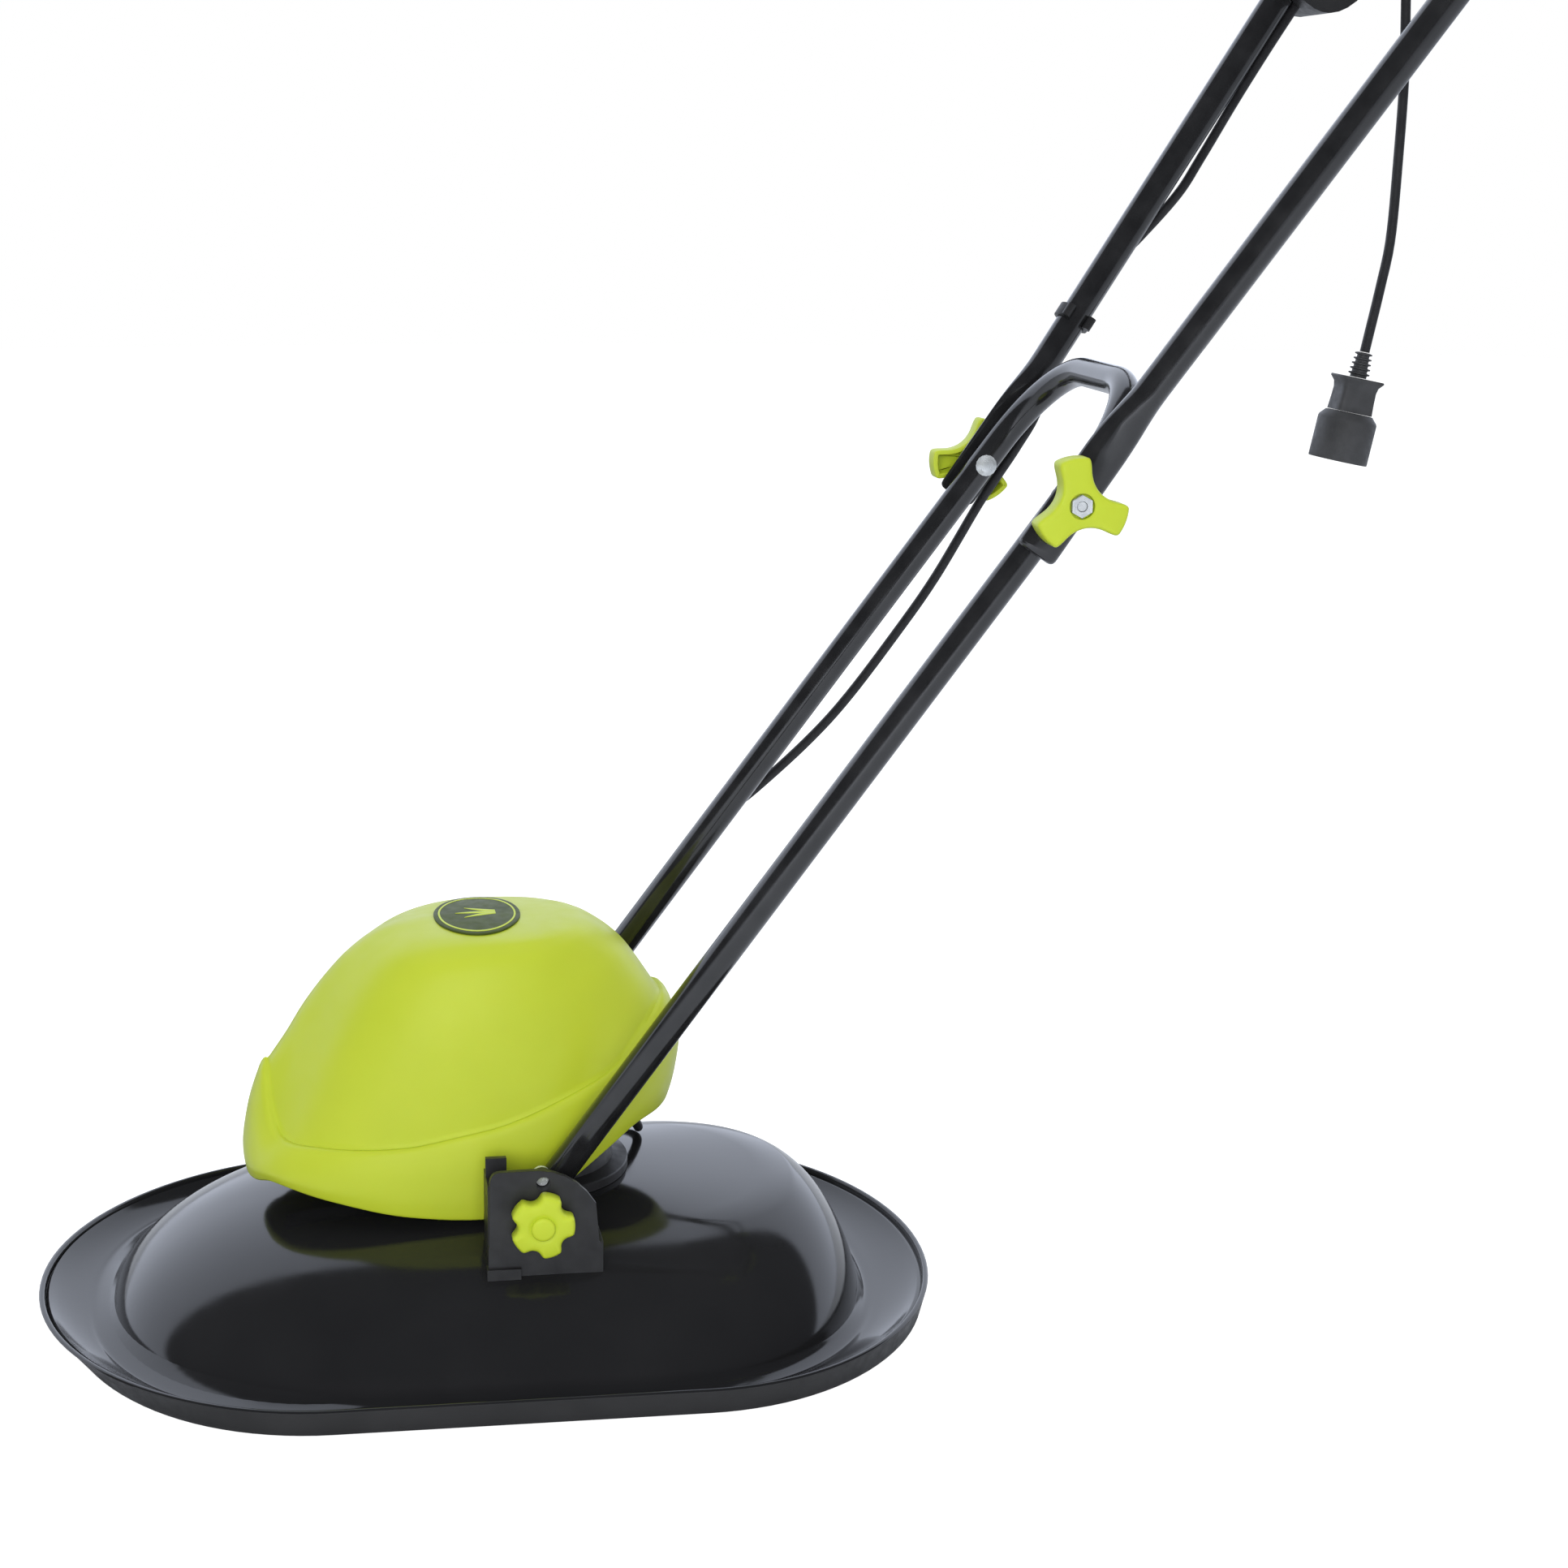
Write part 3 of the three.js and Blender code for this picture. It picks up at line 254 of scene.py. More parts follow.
COPPER = banded_metal("copper_winding", (0.30, 0.09, 0.03), (0.62, 0.24, 0.10), 500)
FOAM = foam()


# ---------------------------------------------------------------- shape helpers
def grid(rings, closed=False, capped=False):
    """Quads between rings with equal numbers of points."""
    count = len(rings[0])
    verts = [tuple(point) for ring in rings for point in ring]
    faces = []
    for k in range(len(rings) if closed else len(rings) - 1):
        low, high = k * count, (k + 1) % len(rings) * count
        faces += [
            (low + i, low + (i + 1) % count, high + (i + 1) % count, high + i) for i in range(count)
        ]
    if capped:
        faces.append(tuple(range(count)))
        faces.append(tuple(range(len(verts) - count, len(verts))))
    return verts, faces


def bent(value, power):
    """A value raised to a power, with its sign kept: below 1 it makes fuller corners."""
    return math.copysign(abs(value) ** power, value)


def joined(*shapes):
    """Several shapes as one."""
    verts, faces = [], []
    for more_verts, more_faces in shapes:
        faces += [tuple(i + len(verts) for i in face) for face in more_faces]
        verts += more_verts
    return verts, faces


def moved(shape, change):
    """A shape with every point passed through change."""
    return [change(*vert) for vert in shape[0]], shape[1]


def catmull(p0, p1, p2, p3, t):
    """A point between p1 and p2 on a curve through all four."""
    return tuple(
        0.5 * (2 * b + (c - a) * t + (2 * a - 5 * b + 4 * c - d) * t * t
               + (3 * b - a - 3 * c + d) * t ** 3)
        for a, b, c, d in zip(p0, p1, p2, p3)
    )


def eased(rings, steps):
    """The rings with more between them, on curves through the given ones."""
    found = []
    last = len(rings) - 1
    for k in range(last):
        four = [rings[max(0, k - 1)], rings[k], rings[k + 1], rings[min(last, k + 2)]]
        for t in arc(0, 1, steps)[:-1]:
            found.append([catmull(*points, t) for points in zip(*four)])
    return found + [rings[-1]]


def along(points, step=None, count=None):
    """Evenly spaced points on a curve through the given ones."""
    fine = [point[0] for point in eased([[point] for point in points], 12)]
    lengths = [0.0]
    for a, b in zip(fine, fine[1:]):
        lengths.append(lengths[-1] + math.dist(a, b))
    count = count or max(2, round(lengths[-1] / step))
    found, k = [], 0
    for target in arc(0, lengths[-1], count):
        while k < len(fine) - 2 and lengths[k + 1] < target:
            k += 1
        share = (target - lengths[k]) / (lengths[k + 1] - lengths[k])
        found.append(tuple(mix(a, b, share) for a, b in zip(fine[k], fine[k + 1])))
    return found


def basis(axis):
    """The axis at unit length with two directions square to it."""
    axis = Vector(axis).normalized()
    side = axis.cross(Vector((0, 0, 1)) if abs(axis.z) < 0.9 else Vector((1, 0, 0))).normalized()
    return axis, side, axis.cross(side)


def sweep(points, radius, around=28, bore=0.0):
    """A round tube, solid or bored, through the points; radius may be a list."""
    points = [Vector(point) for point in points]
    radii = radius if isinstance(radius, list) else [radius] * len(points)
    side = basis(points[1] - points[0])[1]
    outer, inner = [], []
    for i, point in enumerate(points):
        before, after = points[max(i - 1, 0)], points[min(i + 1, len(points) - 1)]
        way = (after - point).normalized() + (point - before).normalized()
        way.normalize()
        side = (side - way * side.dot(way)).normalized()
        up = way.cross(side)
        turn = full_turn(around)
        outer.append([point + (side * math.cos(a) + up * math.sin(a)) * radii[i] for a in turn])
        inner.append([point + (side * math.cos(a) + up * math.sin(a)) * bore for a in turn])
    if bore:
        return grid(outer + inner[::-1], closed=True)
    return grid(outer, capped=True)


def lathe(profile, origin, axis, steps=48):
    """A profile of [radius, distance along the axis] turned about the axis through origin."""
    axis, side, up = basis(axis)
    origin = Vector(origin)
    rings = []
    for radius, height in profile:
        rings.append([
            origin + axis * height + (side * math.cos(a) + up * math.sin(a)) * max(radius, 1e-4)
            for a in full_turn(steps)
        ])
    return grid(rings, closed=profile[0][0] > 0 and profile[-1][0] > 0, capped=profile[0][0] == 0)


def inset(outline, distance):
    """A closed outline moved inwards by a small distance."""
    found = []
    for i, (x, z) in enumerate(outline):
        (ax, az), (bx, bz) = outline[i - 1], outline[(i + 1) % len(outline)]
        length = math.hypot(bx - ax, bz - az)
        found.append((x - distance * (bz - az) / length, z + distance * (bx - ax) / length))
    return found


def stacked(outlines, centre):
    """Outlines of [x, z] points at places across the mower, given as (y, outline) from a centre."""
    return [[(centre[0] + x, y, centre[1] + z) for x, z in outline] for y, outline in outlines]


def dress(name, mesh, body, slot, materials, stands_for=(), sharp=38.0, bevel=0.0, merge=True):
    """Makes an object of a mesh, smooth but for its sharp edges, and hangs it on its body."""
    shape = bmesh.new()
    shape.from_mesh(mesh)
    if merge:
        bmesh.ops.remove_doubles(shape, verts=shape.verts, dist=2e-6)
    bmesh.ops.recalc_face_normals(shape, faces=shape.faces)
    shape.to_mesh(mesh)
    shape.free()
    mesh.shade_smooth()
    mesh.set_sharp_from_angle(angle=math.radians(sharp))
    mesh.materials.clear()
    for material in materials:
        mesh.materials.append(material)
    piece = bpy.data.objects.new(name, mesh)
    bpy.context.scene.collection.objects.link(piece)
    if bevel:
        edge = piece.modifiers.new("edges", "BEVEL")
        edge.width = bevel / 1000
        edge.segments = 3
        edge.limit_method = "ANGLE"
        edge.angle_limit = math.radians(sharp)
        edge.harden_normals = True
    if isinstance(body, tuple):
        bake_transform(piece)
    else:
        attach(piece, body)
    if stands_for:
        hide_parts(*stands_for)
    return piece


def piece(name, shape, body, slot, *materials, **how):
    """A finished piece from points in the mower's own millimetres."""
    mesh = bpy.data.meshes.new(name)
    mesh.from_pydata([at(*vert) for vert in shape[0]], [], shape[1])
    return dress(name, mesh, body, slot, materials, **how)


def refined(node, material, bevel=0.5):
    """A CAD node copied with its flat faces whole and its edges broken."""
    mesh = frame["nodes"][node].data.copy()
    shape = bmesh.new()
    shape.from_mesh(mesh)
    bmesh.ops.remove_doubles(shape, verts=shape.verts, dist=2e-6)
    bmesh.ops.dissolve_limit(shape, angle_limit=0.01, verts=shape.verts, edges=shape.edges)
    shape.to_mesh(mesh)
    shape.free()
    body = next(body for body, nodes in BODIES.items() if node in nodes)
    return dress(f"{node}_shape", mesh, body, SLOTS[node], [material], (node,), bevel=bevel, sharp=34)


BODIES = frame["record"]["behaviour"]["bodies"]
SLOTS = {entry["node"]: entry["material_slot"] for entry in frame["record"]["subparts"]}

# ---------------------------------------------------------------- places on the handle
LEG_TURN = math.atan2(BOLT_Z - PIVOT_Z, BOLT_X - PIVOT_X)
LEG_LENGTH = math.hypot(BOLT_Z - PIVOT_Z, BOLT_X - PIVOT_X)
UPPER_TURN = math.radians(55.4)
UPPER_LENGTH = 560
UPPER_STRAIGHT = 500
UPPER_LOW_Y, UPPER_TOP_Y = 101.8, 167.3  # how far out its straight runs at its two ends
LEG_Y = 97
TUBE_R = 9.5
UPPER_R = 10


def on_line(x, z, turn, up, behind, across):
    """A place by distance up a line from x, z that rises at an angle, behind it and across."""
    return (
        x + up * math.cos(turn) + behind * math.sin(turn),
        across,
        z + up * math.sin(turn) - behind * math.cos(turn),
    )


def on_leg(up, behind, across):
    """A place by distance up the lower handle from its pivot, behind it and across."""
    return on_line(PIVOT_X, PIVOT_Z, LEG_TURN, up, behind, across)


def on_upper(up, behind, across):
    """A place by distance up the upper handle from its clamp bolt, behind it and across."""
    return on_line(BOLT_X, BOLT_Z, UPPER_TURN, up, behind, across)


def splay(up):
    """How far out the upper handle's tube runs."""
    return mix(UPPER_LOW_Y, UPPER_TOP_Y, up / UPPER_STRAIGHT)


# ---------------------------------------------------------------- pigtail cord and plug
CORD_ROUTE = [
    (650, 138, 861.7), (651, 137.5, 826), (651.4, 136.5, 790), (649.5, 135.5, 739), (646.5, 135, 683),
    (640.5, 135, 648), (633.5, 135, 614), (631.3, 135, 603.3),
]
CORD_R = 3.4
PLUG_TOP = (631, 135, 603)
PLUG_TILT = math.radians(12)


def on_plug(x, y, z):
    """A place on the plug, measured down its own axis from the end of the cord."""
    return (
        PLUG_TOP[0] + x * math.cos(PLUG_TILT) + z * math.sin(PLUG_TILT),
        PLUG_TOP[1] + y,
        PLUG_TOP[2] - x * math.sin(PLUG_TILT) + z * math.cos(PLUG_TILT),
    )


def plug_lathe(profile, steps=56):
    return moved(lathe(profile, (0, 0, 0), (0, 0, 1), steps), on_plug)


def rounded_box_ring(half_x, half_y, z, power=0.32, count=56):
    """A level ring of a box with rounded corners."""
    ring = []
    for a in full_turn(count):
        ring.append((half_x * bent(math.cos(a), power), half_y * bent(math.sin(a), power), z))
    return ring


def make_plug():
    relief = [(0, -0.1), (4.2, -0.1)]
    for i in range(5):
        z, grow = -0.6 - 3.5 * i, 0.35 * i
        relief += [(5.9 + grow, z), (6.1 + grow, z - 0.5), (5.9 + grow, z - 1.0)]
        relief += [(4.3 + grow, z - 1.5), (4.3 + grow, z - 3.2)]
    relief += [(6.4, -18.0), (0, -18.0)]
    body = grid([
        rounded_box_ring(*size) for size in [
            (0.5, 0.5, -18.3), (15.6, 14.2, -18.3), (15.9, 14.5, -18.8), (15.9, 14.5, -19.6),
            (15.2, 13.8, -20.6), (13.4, 12.2, -23.0), (12.7, 11.6, -27.0), (12.9, 11.8, -34.0),
            (13.4, 12.3, -43.0), (0.5, 0.5, -43.0),
        ]
    ], capped=True)
    rib = [(-0.8, 0), (0.25, 0.0), (0.45, 0.25), (0.25, 0.5), (-0.8, 0.5)]
    ribs = []
    for i in range(9):
        low = -40.5 + 1.9 * i
        ends = [[(-12.2 - rise, y, low + up) for rise, up in rib] for y in (-7.0, 7.0)]
        ribs.append(moved(grid(ends, capped=True), on_plug))
    shroud = [
        (0, -43.3), (14.6, -43.3), (16.4, -43.5), (20.0, -47.6), (20.5, -49.0), (20.5, -77.4),
        (20.2, -78.0), (18.9, -78.0), (18.4, -77.4), (18.1, -57.0), (17.8, -56.2), (0, -56.2),
    ]
    insert = [(0, -56.4), (17.4, -56.4), (17.4, -60.2), (16.8, -60.8), (9.0, -61.0), (0, -61.0)]
    prongs = []
    for y in (-6.0, 6.0):
        rings = [rounded_box_ring(*size) for size in [
            (2.0, 1.2, -58.0), (2.0, 1.2, -74.6), (1.7, 0.95, -75.8), (1.0, 0.5, -76.2),
        ]]
        prong = grid([[(x, y + across, z) for x, across, z in ring] for ring in rings], capped=True)
        prongs.append(moved(prong, on_plug))
    return [
        piece("plug_strain_relief", plug_lathe(relief, 36), "upper_frame", "cord_rubber", RUBBER,
              stands_for=("plug_relief",), sharp=50),
        piece("plug_moulding", joined(moved(body, on_plug), *ribs), "upper_frame", "cord_rubber", RUBBER,
              stands_for=("plug_body",), sharp=45),
        piece("plug_shroud_shell", plug_lathe(shroud), "upper_frame", "cord_rubber", RUBBER,
              stands_for=("plug_shroud",)),
        piece("plug_contacts", joined(plug_lathe(insert), *prongs), "upper_frame", "zinc", PALE_PLASTIC,
              stands_for=("plug_insert",)),
    ]


def make_cord_relief():
    """A tapered strain relief whose segments are parted by grooves."""
    profile = [(0, 900), (5, 900), (5, 892.6), (8.2, 892.6), (8.4, 892.0), (8.4, 886.6), (8.0, 886.0)]
    profile.append((6.4, 885.6))
    for i in range(6):
        top, radius = 884.6 - 3.7 * i, 6.2 - 0.32 * i
        profile += [(radius, top), (radius, top - 2.3)]
        profile += [(radius - 0.9, top - 2.7), (radius - 0.9, top - 3.3)]
    profile += [(4.2, 862.2), (3.5, 862.0), (0, 862.0)]
    shape = lathe(profile, (*CORD_ROUTE[0][:2], 0), (0, 0, 1), 40)
    return piece("cord_strain_relief", shape, "upper_frame", "cord_rubber", RUBBER,
                 stands_for=("cord_relief",))


def make_cord():
    route = along(CORD_ROUTE, count=30)
    cord = piece("pigtail", sweep(route, CORD_R, 20), "upper_frame", "cord_rubber", CABLE,
                 stands_for=("pigtail_cord",))
    make_cord_relief()
    make_plug()


PALE_PLASTIC = satin_plastic("pale_plastic", (0.62, 0.63, 0.64), (0.74, 0.75, 0.76))
make_cord()


# ---------------------------------------------------------------- hood
def oval_turns(arc_steps, side_steps):
    """Points round an oval as (cosine, sine, share of the straight), from the rear's left end."""
    half_turn = math.pi / 2
    rear = [(math.cos(a), math.sin(a), 1) for a in arc(-half_turn, half_turn, arc_steps)]
    front = [(-math.cos(a), -math.sin(a), -1) for a in arc(-half_turn, half_turn, arc_steps)]
    right = [(0, 1, share) for share in arc(1, -1, side_steps)[1:-1]]
    left = [(0, -1, share) for share in arc(-1, 1, side_steps)[1:-1]]
    return rear + right + front + left


TURNS = oval_turns(56, 10)
MOTOR_X = 22
RIM_HEIGHT = 17
RIM_STRAIGHT, RIM_END, RIM_SIDE = 112, 171, 200  # half the straight, then the rim's reach from it
CORNER = 0.9  # below 1 the dome's corners are fuller than an ellipse's


def nose(x):
    """How far into the nose a place lies: 0 behind it, 1 at its tip."""
    return max(0, (-x / (RIM_STRAIGHT + RIM_END) - 0.45) / 0.55) ** 2


def rim_ring(inset, z, share=None):
    """A level ring of the rim, which leans out as it rises."""
    share = z / RIM_HEIGHT if share is None else share
    grow = 4.4 * share - inset
    ring = []
    for c, s, run in TURNS:
        x, y = run * RIM_STRAIGHT + (RIM_END + grow) * c, (RIM_SIDE + grow) * s
        ring.append((x - nose(x) * mix(-4.8, 9, share), y, z))
    return ring


def base_ring(inset, z):
    """A level ring where the dome meets the brim."""
    ring = []
    for c, s, run in TURNS:
        reach = (159 if run < 0 else 143) - inset
        ring.append((run * 100 + reach * bent(c, CORNER), (181 - inset) * bent(s, CORNER), z))
    return ring


def smooth_value(table, place):
    """A value from [place, value] points, on a curve through them."""
    last = len(table) - 1
    k = next((i for i in range(last) if place <= table[i + 1][0]), last - 1)
    share = (place - table[k][0]) / (table[k + 1][0] - table[k][0])
    four = [table[max(0, k - 1)], table[k], table[k + 1], table[min(last, k + 2)]]
    return catmull(*[(value,) for _, value in four], min(1, max(0, share)))[0]


def brim_ring(share, drop=0.0):
    """A ring of the brim, at a share of the way from the dome to the rim."""
    inner, outer = base_ring(0, 0), rim_ring(4, RIM_HEIGHT)
    ring = []
    for (ax, ay, _), (bx, by, _) in zip(inner, outer):
        rise = smooth_value([(0, 0), (0.35, 1.2), (0.7, 4.4), (0.93, 8.6)], share)
        lift = nose(bx) * smooth_value([(0, 0), (0.35, 0.8), (0.93, 2)], share)
        ring.append((mix(ax, bx, share), mix(ay, by, share), 5 + rise + lift - drop))
    return ring


def dome_height(r):
    return 7.2 + 76.8 * (1 - r ** 2.56) ** 0.685


def dome_ring(r, inset=0.0, drop=0.0):
    """A level ring of the dome, at a share r of its full size."""
    middle = 15 + 61 * (1 - r)
    ring = []
    for c, s, run in TURNS:
        reach = (195 * r ** 0.8 if run < 0 else 155 * r ** 0.92) - inset
        x, y = middle + run * 69 + reach * bent(c, CORNER), (177 * r - inset) * bent(s, CORNER)
        ring.append((x, y, dome_height(r) - drop))
    return ring


def motor_ring(radius, z):
    """A circle about the motor whose points follow the oval's."""
    ring = []
    for x, y, _ in dome_ring(0.5):
        away = math.hypot(x - MOTOR_X, y)
        ring.append((MOTOR_X + radius * (x - MOTOR_X) / away, radius * y / away, z))
    return ring


def make_hood():
    levels = [0.54, 0.58, 0.62, 0.66, 0.70, 0.74, 0.78, 0.81, 0.84, 0.87, 0.895, 0.915, 0.933, 0.948,
              0.96, 0.97, 0.979, 0.987, 0.993, 0.9975]
    top = [motor_ring(46, 84), motor_ring(63, 84), motor_ring(66, 83.8)]
    dome = eased([motor_ring(66, 83.8), dome_ring(0.5)], 4)[1:] + [dome_ring(r) for r in levels]
    brim = [brim_ring(share) for share in (0.18, 0.35, 0.55, 0.75, 0.93)]
    foot = eased([dome_ring(0.9975), dome_ring(1, -2.2, -0.1), base_ring(-1, 5.1), *brim], 4)[1:]
    lip = [rim_ring(inset, z, 1) for inset, z in [
        (4.1, 12.5), (3.95, 15.4), (3.5, 16.6), (2.7, 17.0), (1.6, 17.0), (0.7, 16.6),
    ]]
    lip.append(rim_ring(0.15, 15.8, 0.98))
    wall = [rim_ring(0, z) for z in (14.9, 12, 9, 6, 3, 0.7)] + [rim_ring(0.5, 0)]
    outside = top + dome + foot + lip
    inside = [rim_ring(2.6, 0), rim_ring(3, 0.5), rim_ring(3.2, 4)]
    inside += [brim_ring(share, 3) for share in (0.93, 0.7, 0.35)] + [base_ring(2, 2)]
    inside += [dome_ring(r, 2.4, 2.4) for r in [0.975, 0.94, 0.89, 0.82, 0.73, 0.62, 0.5]]
    inside += [motor_ring(62, 81), motor_ring(46, 81)]
    hood = piece("hood_shell", grid(outside + wall + inside, closed=True), "deck", "gloss_black", GLOSS,
                 RIM_SATIN, stands_for=("hood",), sharp=62, merge=False)
    around = len(TURNS)
    for polygon in hood.data.polygons:
        if (len(outside) - 1) * around <= polygon.index < (len(outside) + len(wall) - 1) * around:
            polygon.material_index = 1


make_hood()


# ---------------------------------------------------------------- motor cover
# Heights round the cover, by degrees from the rear middle round to the front middle.
SKIRT_FOOT = [(0, 127), (20, 129), (38, 127), (52, 115), (66, 98), (80, 82), (100, 84), (125, 93),
              (150, 98), (165, 92), (180, 88)]
SKIRT_TOP = [(0, 202), (14, 201), (30, 190), (48, 169), (66, 155), (85, 140), (105, 129), (135, 125),
             (157, 124), (168, 138), (180, 164)]
# Plan of each level: share of the height, then how far it reaches to the front, rear and side.
SKIRT = [(0.02, 160, 112, 87), (0.08, 162, 114.5, 87.6), (0.3, 163.5, 119, 88.5), (0.65, 159, 122, 88),
         (0.93, 152, 116, 85.6)]
LEDGE = [(0.97, 150.6, 114.4, 84.9), (0.995, 149.2, 112.6, 84.0), (1.004, 147.8, 110.6, 82.8),
         (0.998, 146.6, 109, 81.6)]
CROWN = [(0, 145, 107, 80.8), (0.18, 134, 101, 79.5), (0.38, 123, 94, 77.5), (0.58, 109.5, 86, 74.5),
         (0.74, 96, 77, 70), (0.86, 82, 68, 65.5), (0.93, 68, 61, 59.5), (0.975, 49, 52, 50),
         (0.995, 26, 30, 30), (1.0, 10, 12, 12)]
COVER_TOP = 255
COVER_WALL = 2.5
COVER_STEPS = 128
COVER_CORNER = 0.87


def cover_ring(level, inset=0.0, drop=0.0, crown=False):
    """A ring of the skirt, or of the crown above its ledge."""
    share, front, rear, side = level
    ring = []
    for angle in full_turn(COVER_STEPS):
        degrees = math.degrees(angle)
        degrees = 360 - degrees if degrees > 180 else degrees
        c, s = math.cos(angle), math.sin(angle)
        ledge = smooth_value(SKIRT_TOP, degrees)
        if crown:
            z = mix(ledge + 1.5, COVER_TOP, share) - drop * share
        else:
            z = mix(smooth_value(SKIRT_FOOT, degrees), ledge, share)
        half, middle = (front + rear) / 2, (rear - front) / 2
        x = middle + (half - inset) * bent(c, COVER_CORNER)
        ring.append((x, (side - inset) * bent(s, COVER_CORNER) * (1 - 0.06 * c), z))
    return ring


def make_cover():
    skirt = eased([cover_ring(level) for level in SKIRT], 6)
    ledge = [cover_ring(level) for level in LEDGE]
    crown = eased([cover_ring(level, crown=True) for level in CROWN], 6)
    lining = [cover_ring(level, COVER_WALL) for level in SKIRT[:4]]
    lining += [cover_ring(level, COVER_WALL, COVER_WALL, True) for level in CROWN]
    foot = [cover_ring((0, 158.4, 110.4, 85.6))]
    shape = grid(lining[::-1] + foot + skirt + ledge + crown, capped=True)
    return piece("motor_cover_shell", shape, "deck", "lime", LIME, stands_for=("motor_cover",), sharp=50)


COVER = make_cover()


# ---------------------------------------------------------------- badge
def badge_plastic():
    look = Look("badge_plastic", Specular_IOR_Level=0.12)
    look.paint(look.colours(look.noise(70, detail=6), (0.040, 0.058, 0.008), (0.060, 0.084, 0.013)))
    look.rough(look.noise(160, detail=5), 0.38, 0.5)
    look.bump(look.noise(900, detail=3), 0.00004, 0.5)
    return look.material


def make_badge():
    """A plain oval plate on the crown, with a raised border and three blades of grass."""
    surface = BVHTree.FromObject(COVER, bpy.context.evaluated_depsgraph_get())
    to_cover = COVER.matrix_world.inverted()
    middle_x, half_x, half_y = -10, 28, 43

    def on_crown(x, y, lift):
        hit = surface.ray_cast(to_cover @ at(x, y, 400), Vector((0, 0, -1)))[0]
        return (x, y, (COVER.matrix_world @ hit).z * 1000 + lift)

    def oval(share, lift, steps=72):
        return [
            on_crown(middle_x + half_x * share * math.cos(a), half_y * share * math.sin(a), lift)
            for a in full_turn(steps)
        ]

    plate = [oval(1.0, 0.3), oval(1.0, 0.9), oval(0.985, 1.25), oval(0.95, 1.3), oval(0.9, 1.2)]
    plate += [oval(share, 1.15) for share in (0.7, 0.5, 0.3, 0.1)]
    piece("badge_plate", grid([oval(0.1, 0.3)] + plate, capped=True), "deck", "badge_green", BADGE,
          stands_for=("cover_badge",), sharp=50)
    edge = [(0.90, 1.0), (0.895, 1.4), (0.855, 1.4), (0.85, 1.0)]
    border = grid([oval(share, lift) for share, lift in edge], closed=True)
    section = [(-1, 1.0), (-0.6, 1.4), (0.6, 1.4), (1, 1.0)]
    blades = []
    for lean, size in [(-0.55, 0.8), (0.0, 1.0), (0.6, 0.75)]:
        rings = []
        for share in arc(0, 1, 10):
            x = middle_x + 12 - 26 * size * share
            y = 14 * lean * (0.35 + share ** 1.6)
            half = 2.6 * math.sin(math.pi * (0.25 + 0.74 * share))
            rings.append([on_crown(x, y + half * across, lift) for across, lift in section])
        blades.append(grid(rings, capped=True))
    piece("badge_motif", joined(border, *blades), "deck", "lime", LIME_KNOB, sharp=50)


BADGE = badge_plastic()
make_badge()


# ---------------------------------------------------------------- knobs
CORNER_PASSES = 5
NEAR_LOBE, FAR_LOBE = 100, 65  # degrees at which each clamp knob was left


def softened(radii, passes):
    """Radii round an outline, evened out so that its corners are round."""
    count = len(radii)
    for _ in range(passes):
        radii = [(radii[i - 1] + 2 * radii[i] + radii[(i + 1) % count]) / 4 for i in range(count)]
    return radii


def outline_of(radii):
    """An outline of [x, z] points from its radii at even angles."""
    angles = full_turn(len(radii))
    return [(radius * math.cos(a), radius * math.sin(a)) for radius, a in zip(radii, angles)]


def ring_of(radius, count):
    """A circle as an outline."""
    return outline_of([radius] * count)


def star_outline(count=200, radius=20.0, notches=5, notch=6.4, away=21.8):
    """A disc with round notches cut into its edge."""
    radii, step = [], 2 * math.pi / notches
    for angle in full_turn(count):
        turn = angle % step - step / 2
        reach = notch ** 2 - (away * math.sin(turn)) ** 2
        radii.append(min(radius, away * math.cos(turn) - math.sqrt(reach)) if reach > 0 else radius)
    return outline_of(softened(radii, CORNER_PASSES))


def wing_outline(first_lobe, count=240, reach=29.5):
    """Three lobes with rounded tips and deep waists between them, the first at an angle in degrees."""
    third = 2 * math.pi / 3
    half, radii = math.radians(21), []
    waist = third / 2 - half
    tip_along, tip_across = reach * math.cos(waist), reach * math.sin(waist)
    for angle in full_turn(count):
        turn = (angle - math.radians(first_lobe)) % third
        turn = min(turn, third - turn)
        if turn <= half:
            radii.append(reach)
        else:
            radii.append(waist_crossing(third / 2 - turn, tip_along, tip_across, 0.16 * reach))
    return outline_of(softened(radii, CORNER_PASSES))


def waist_crossing(turn, tip_along, tip_across, control):
    """How far out a ray at an angle from the waist's middle meets the waist's curve."""
    low, high = 0.5, 1.0
    for _ in range(40):
        t = (low + high) / 2
        along_deep = (1 - t) ** 2 * tip_along + 2 * t * (1 - t) * control + t * t * tip_along
        across = -(1 - t) ** 2 * tip_across + t * t * tip_across
        if math.atan2(across, along_deep) < turn:
            low = t
        else:
            high = t
    return math.hypot(along_deep, across)


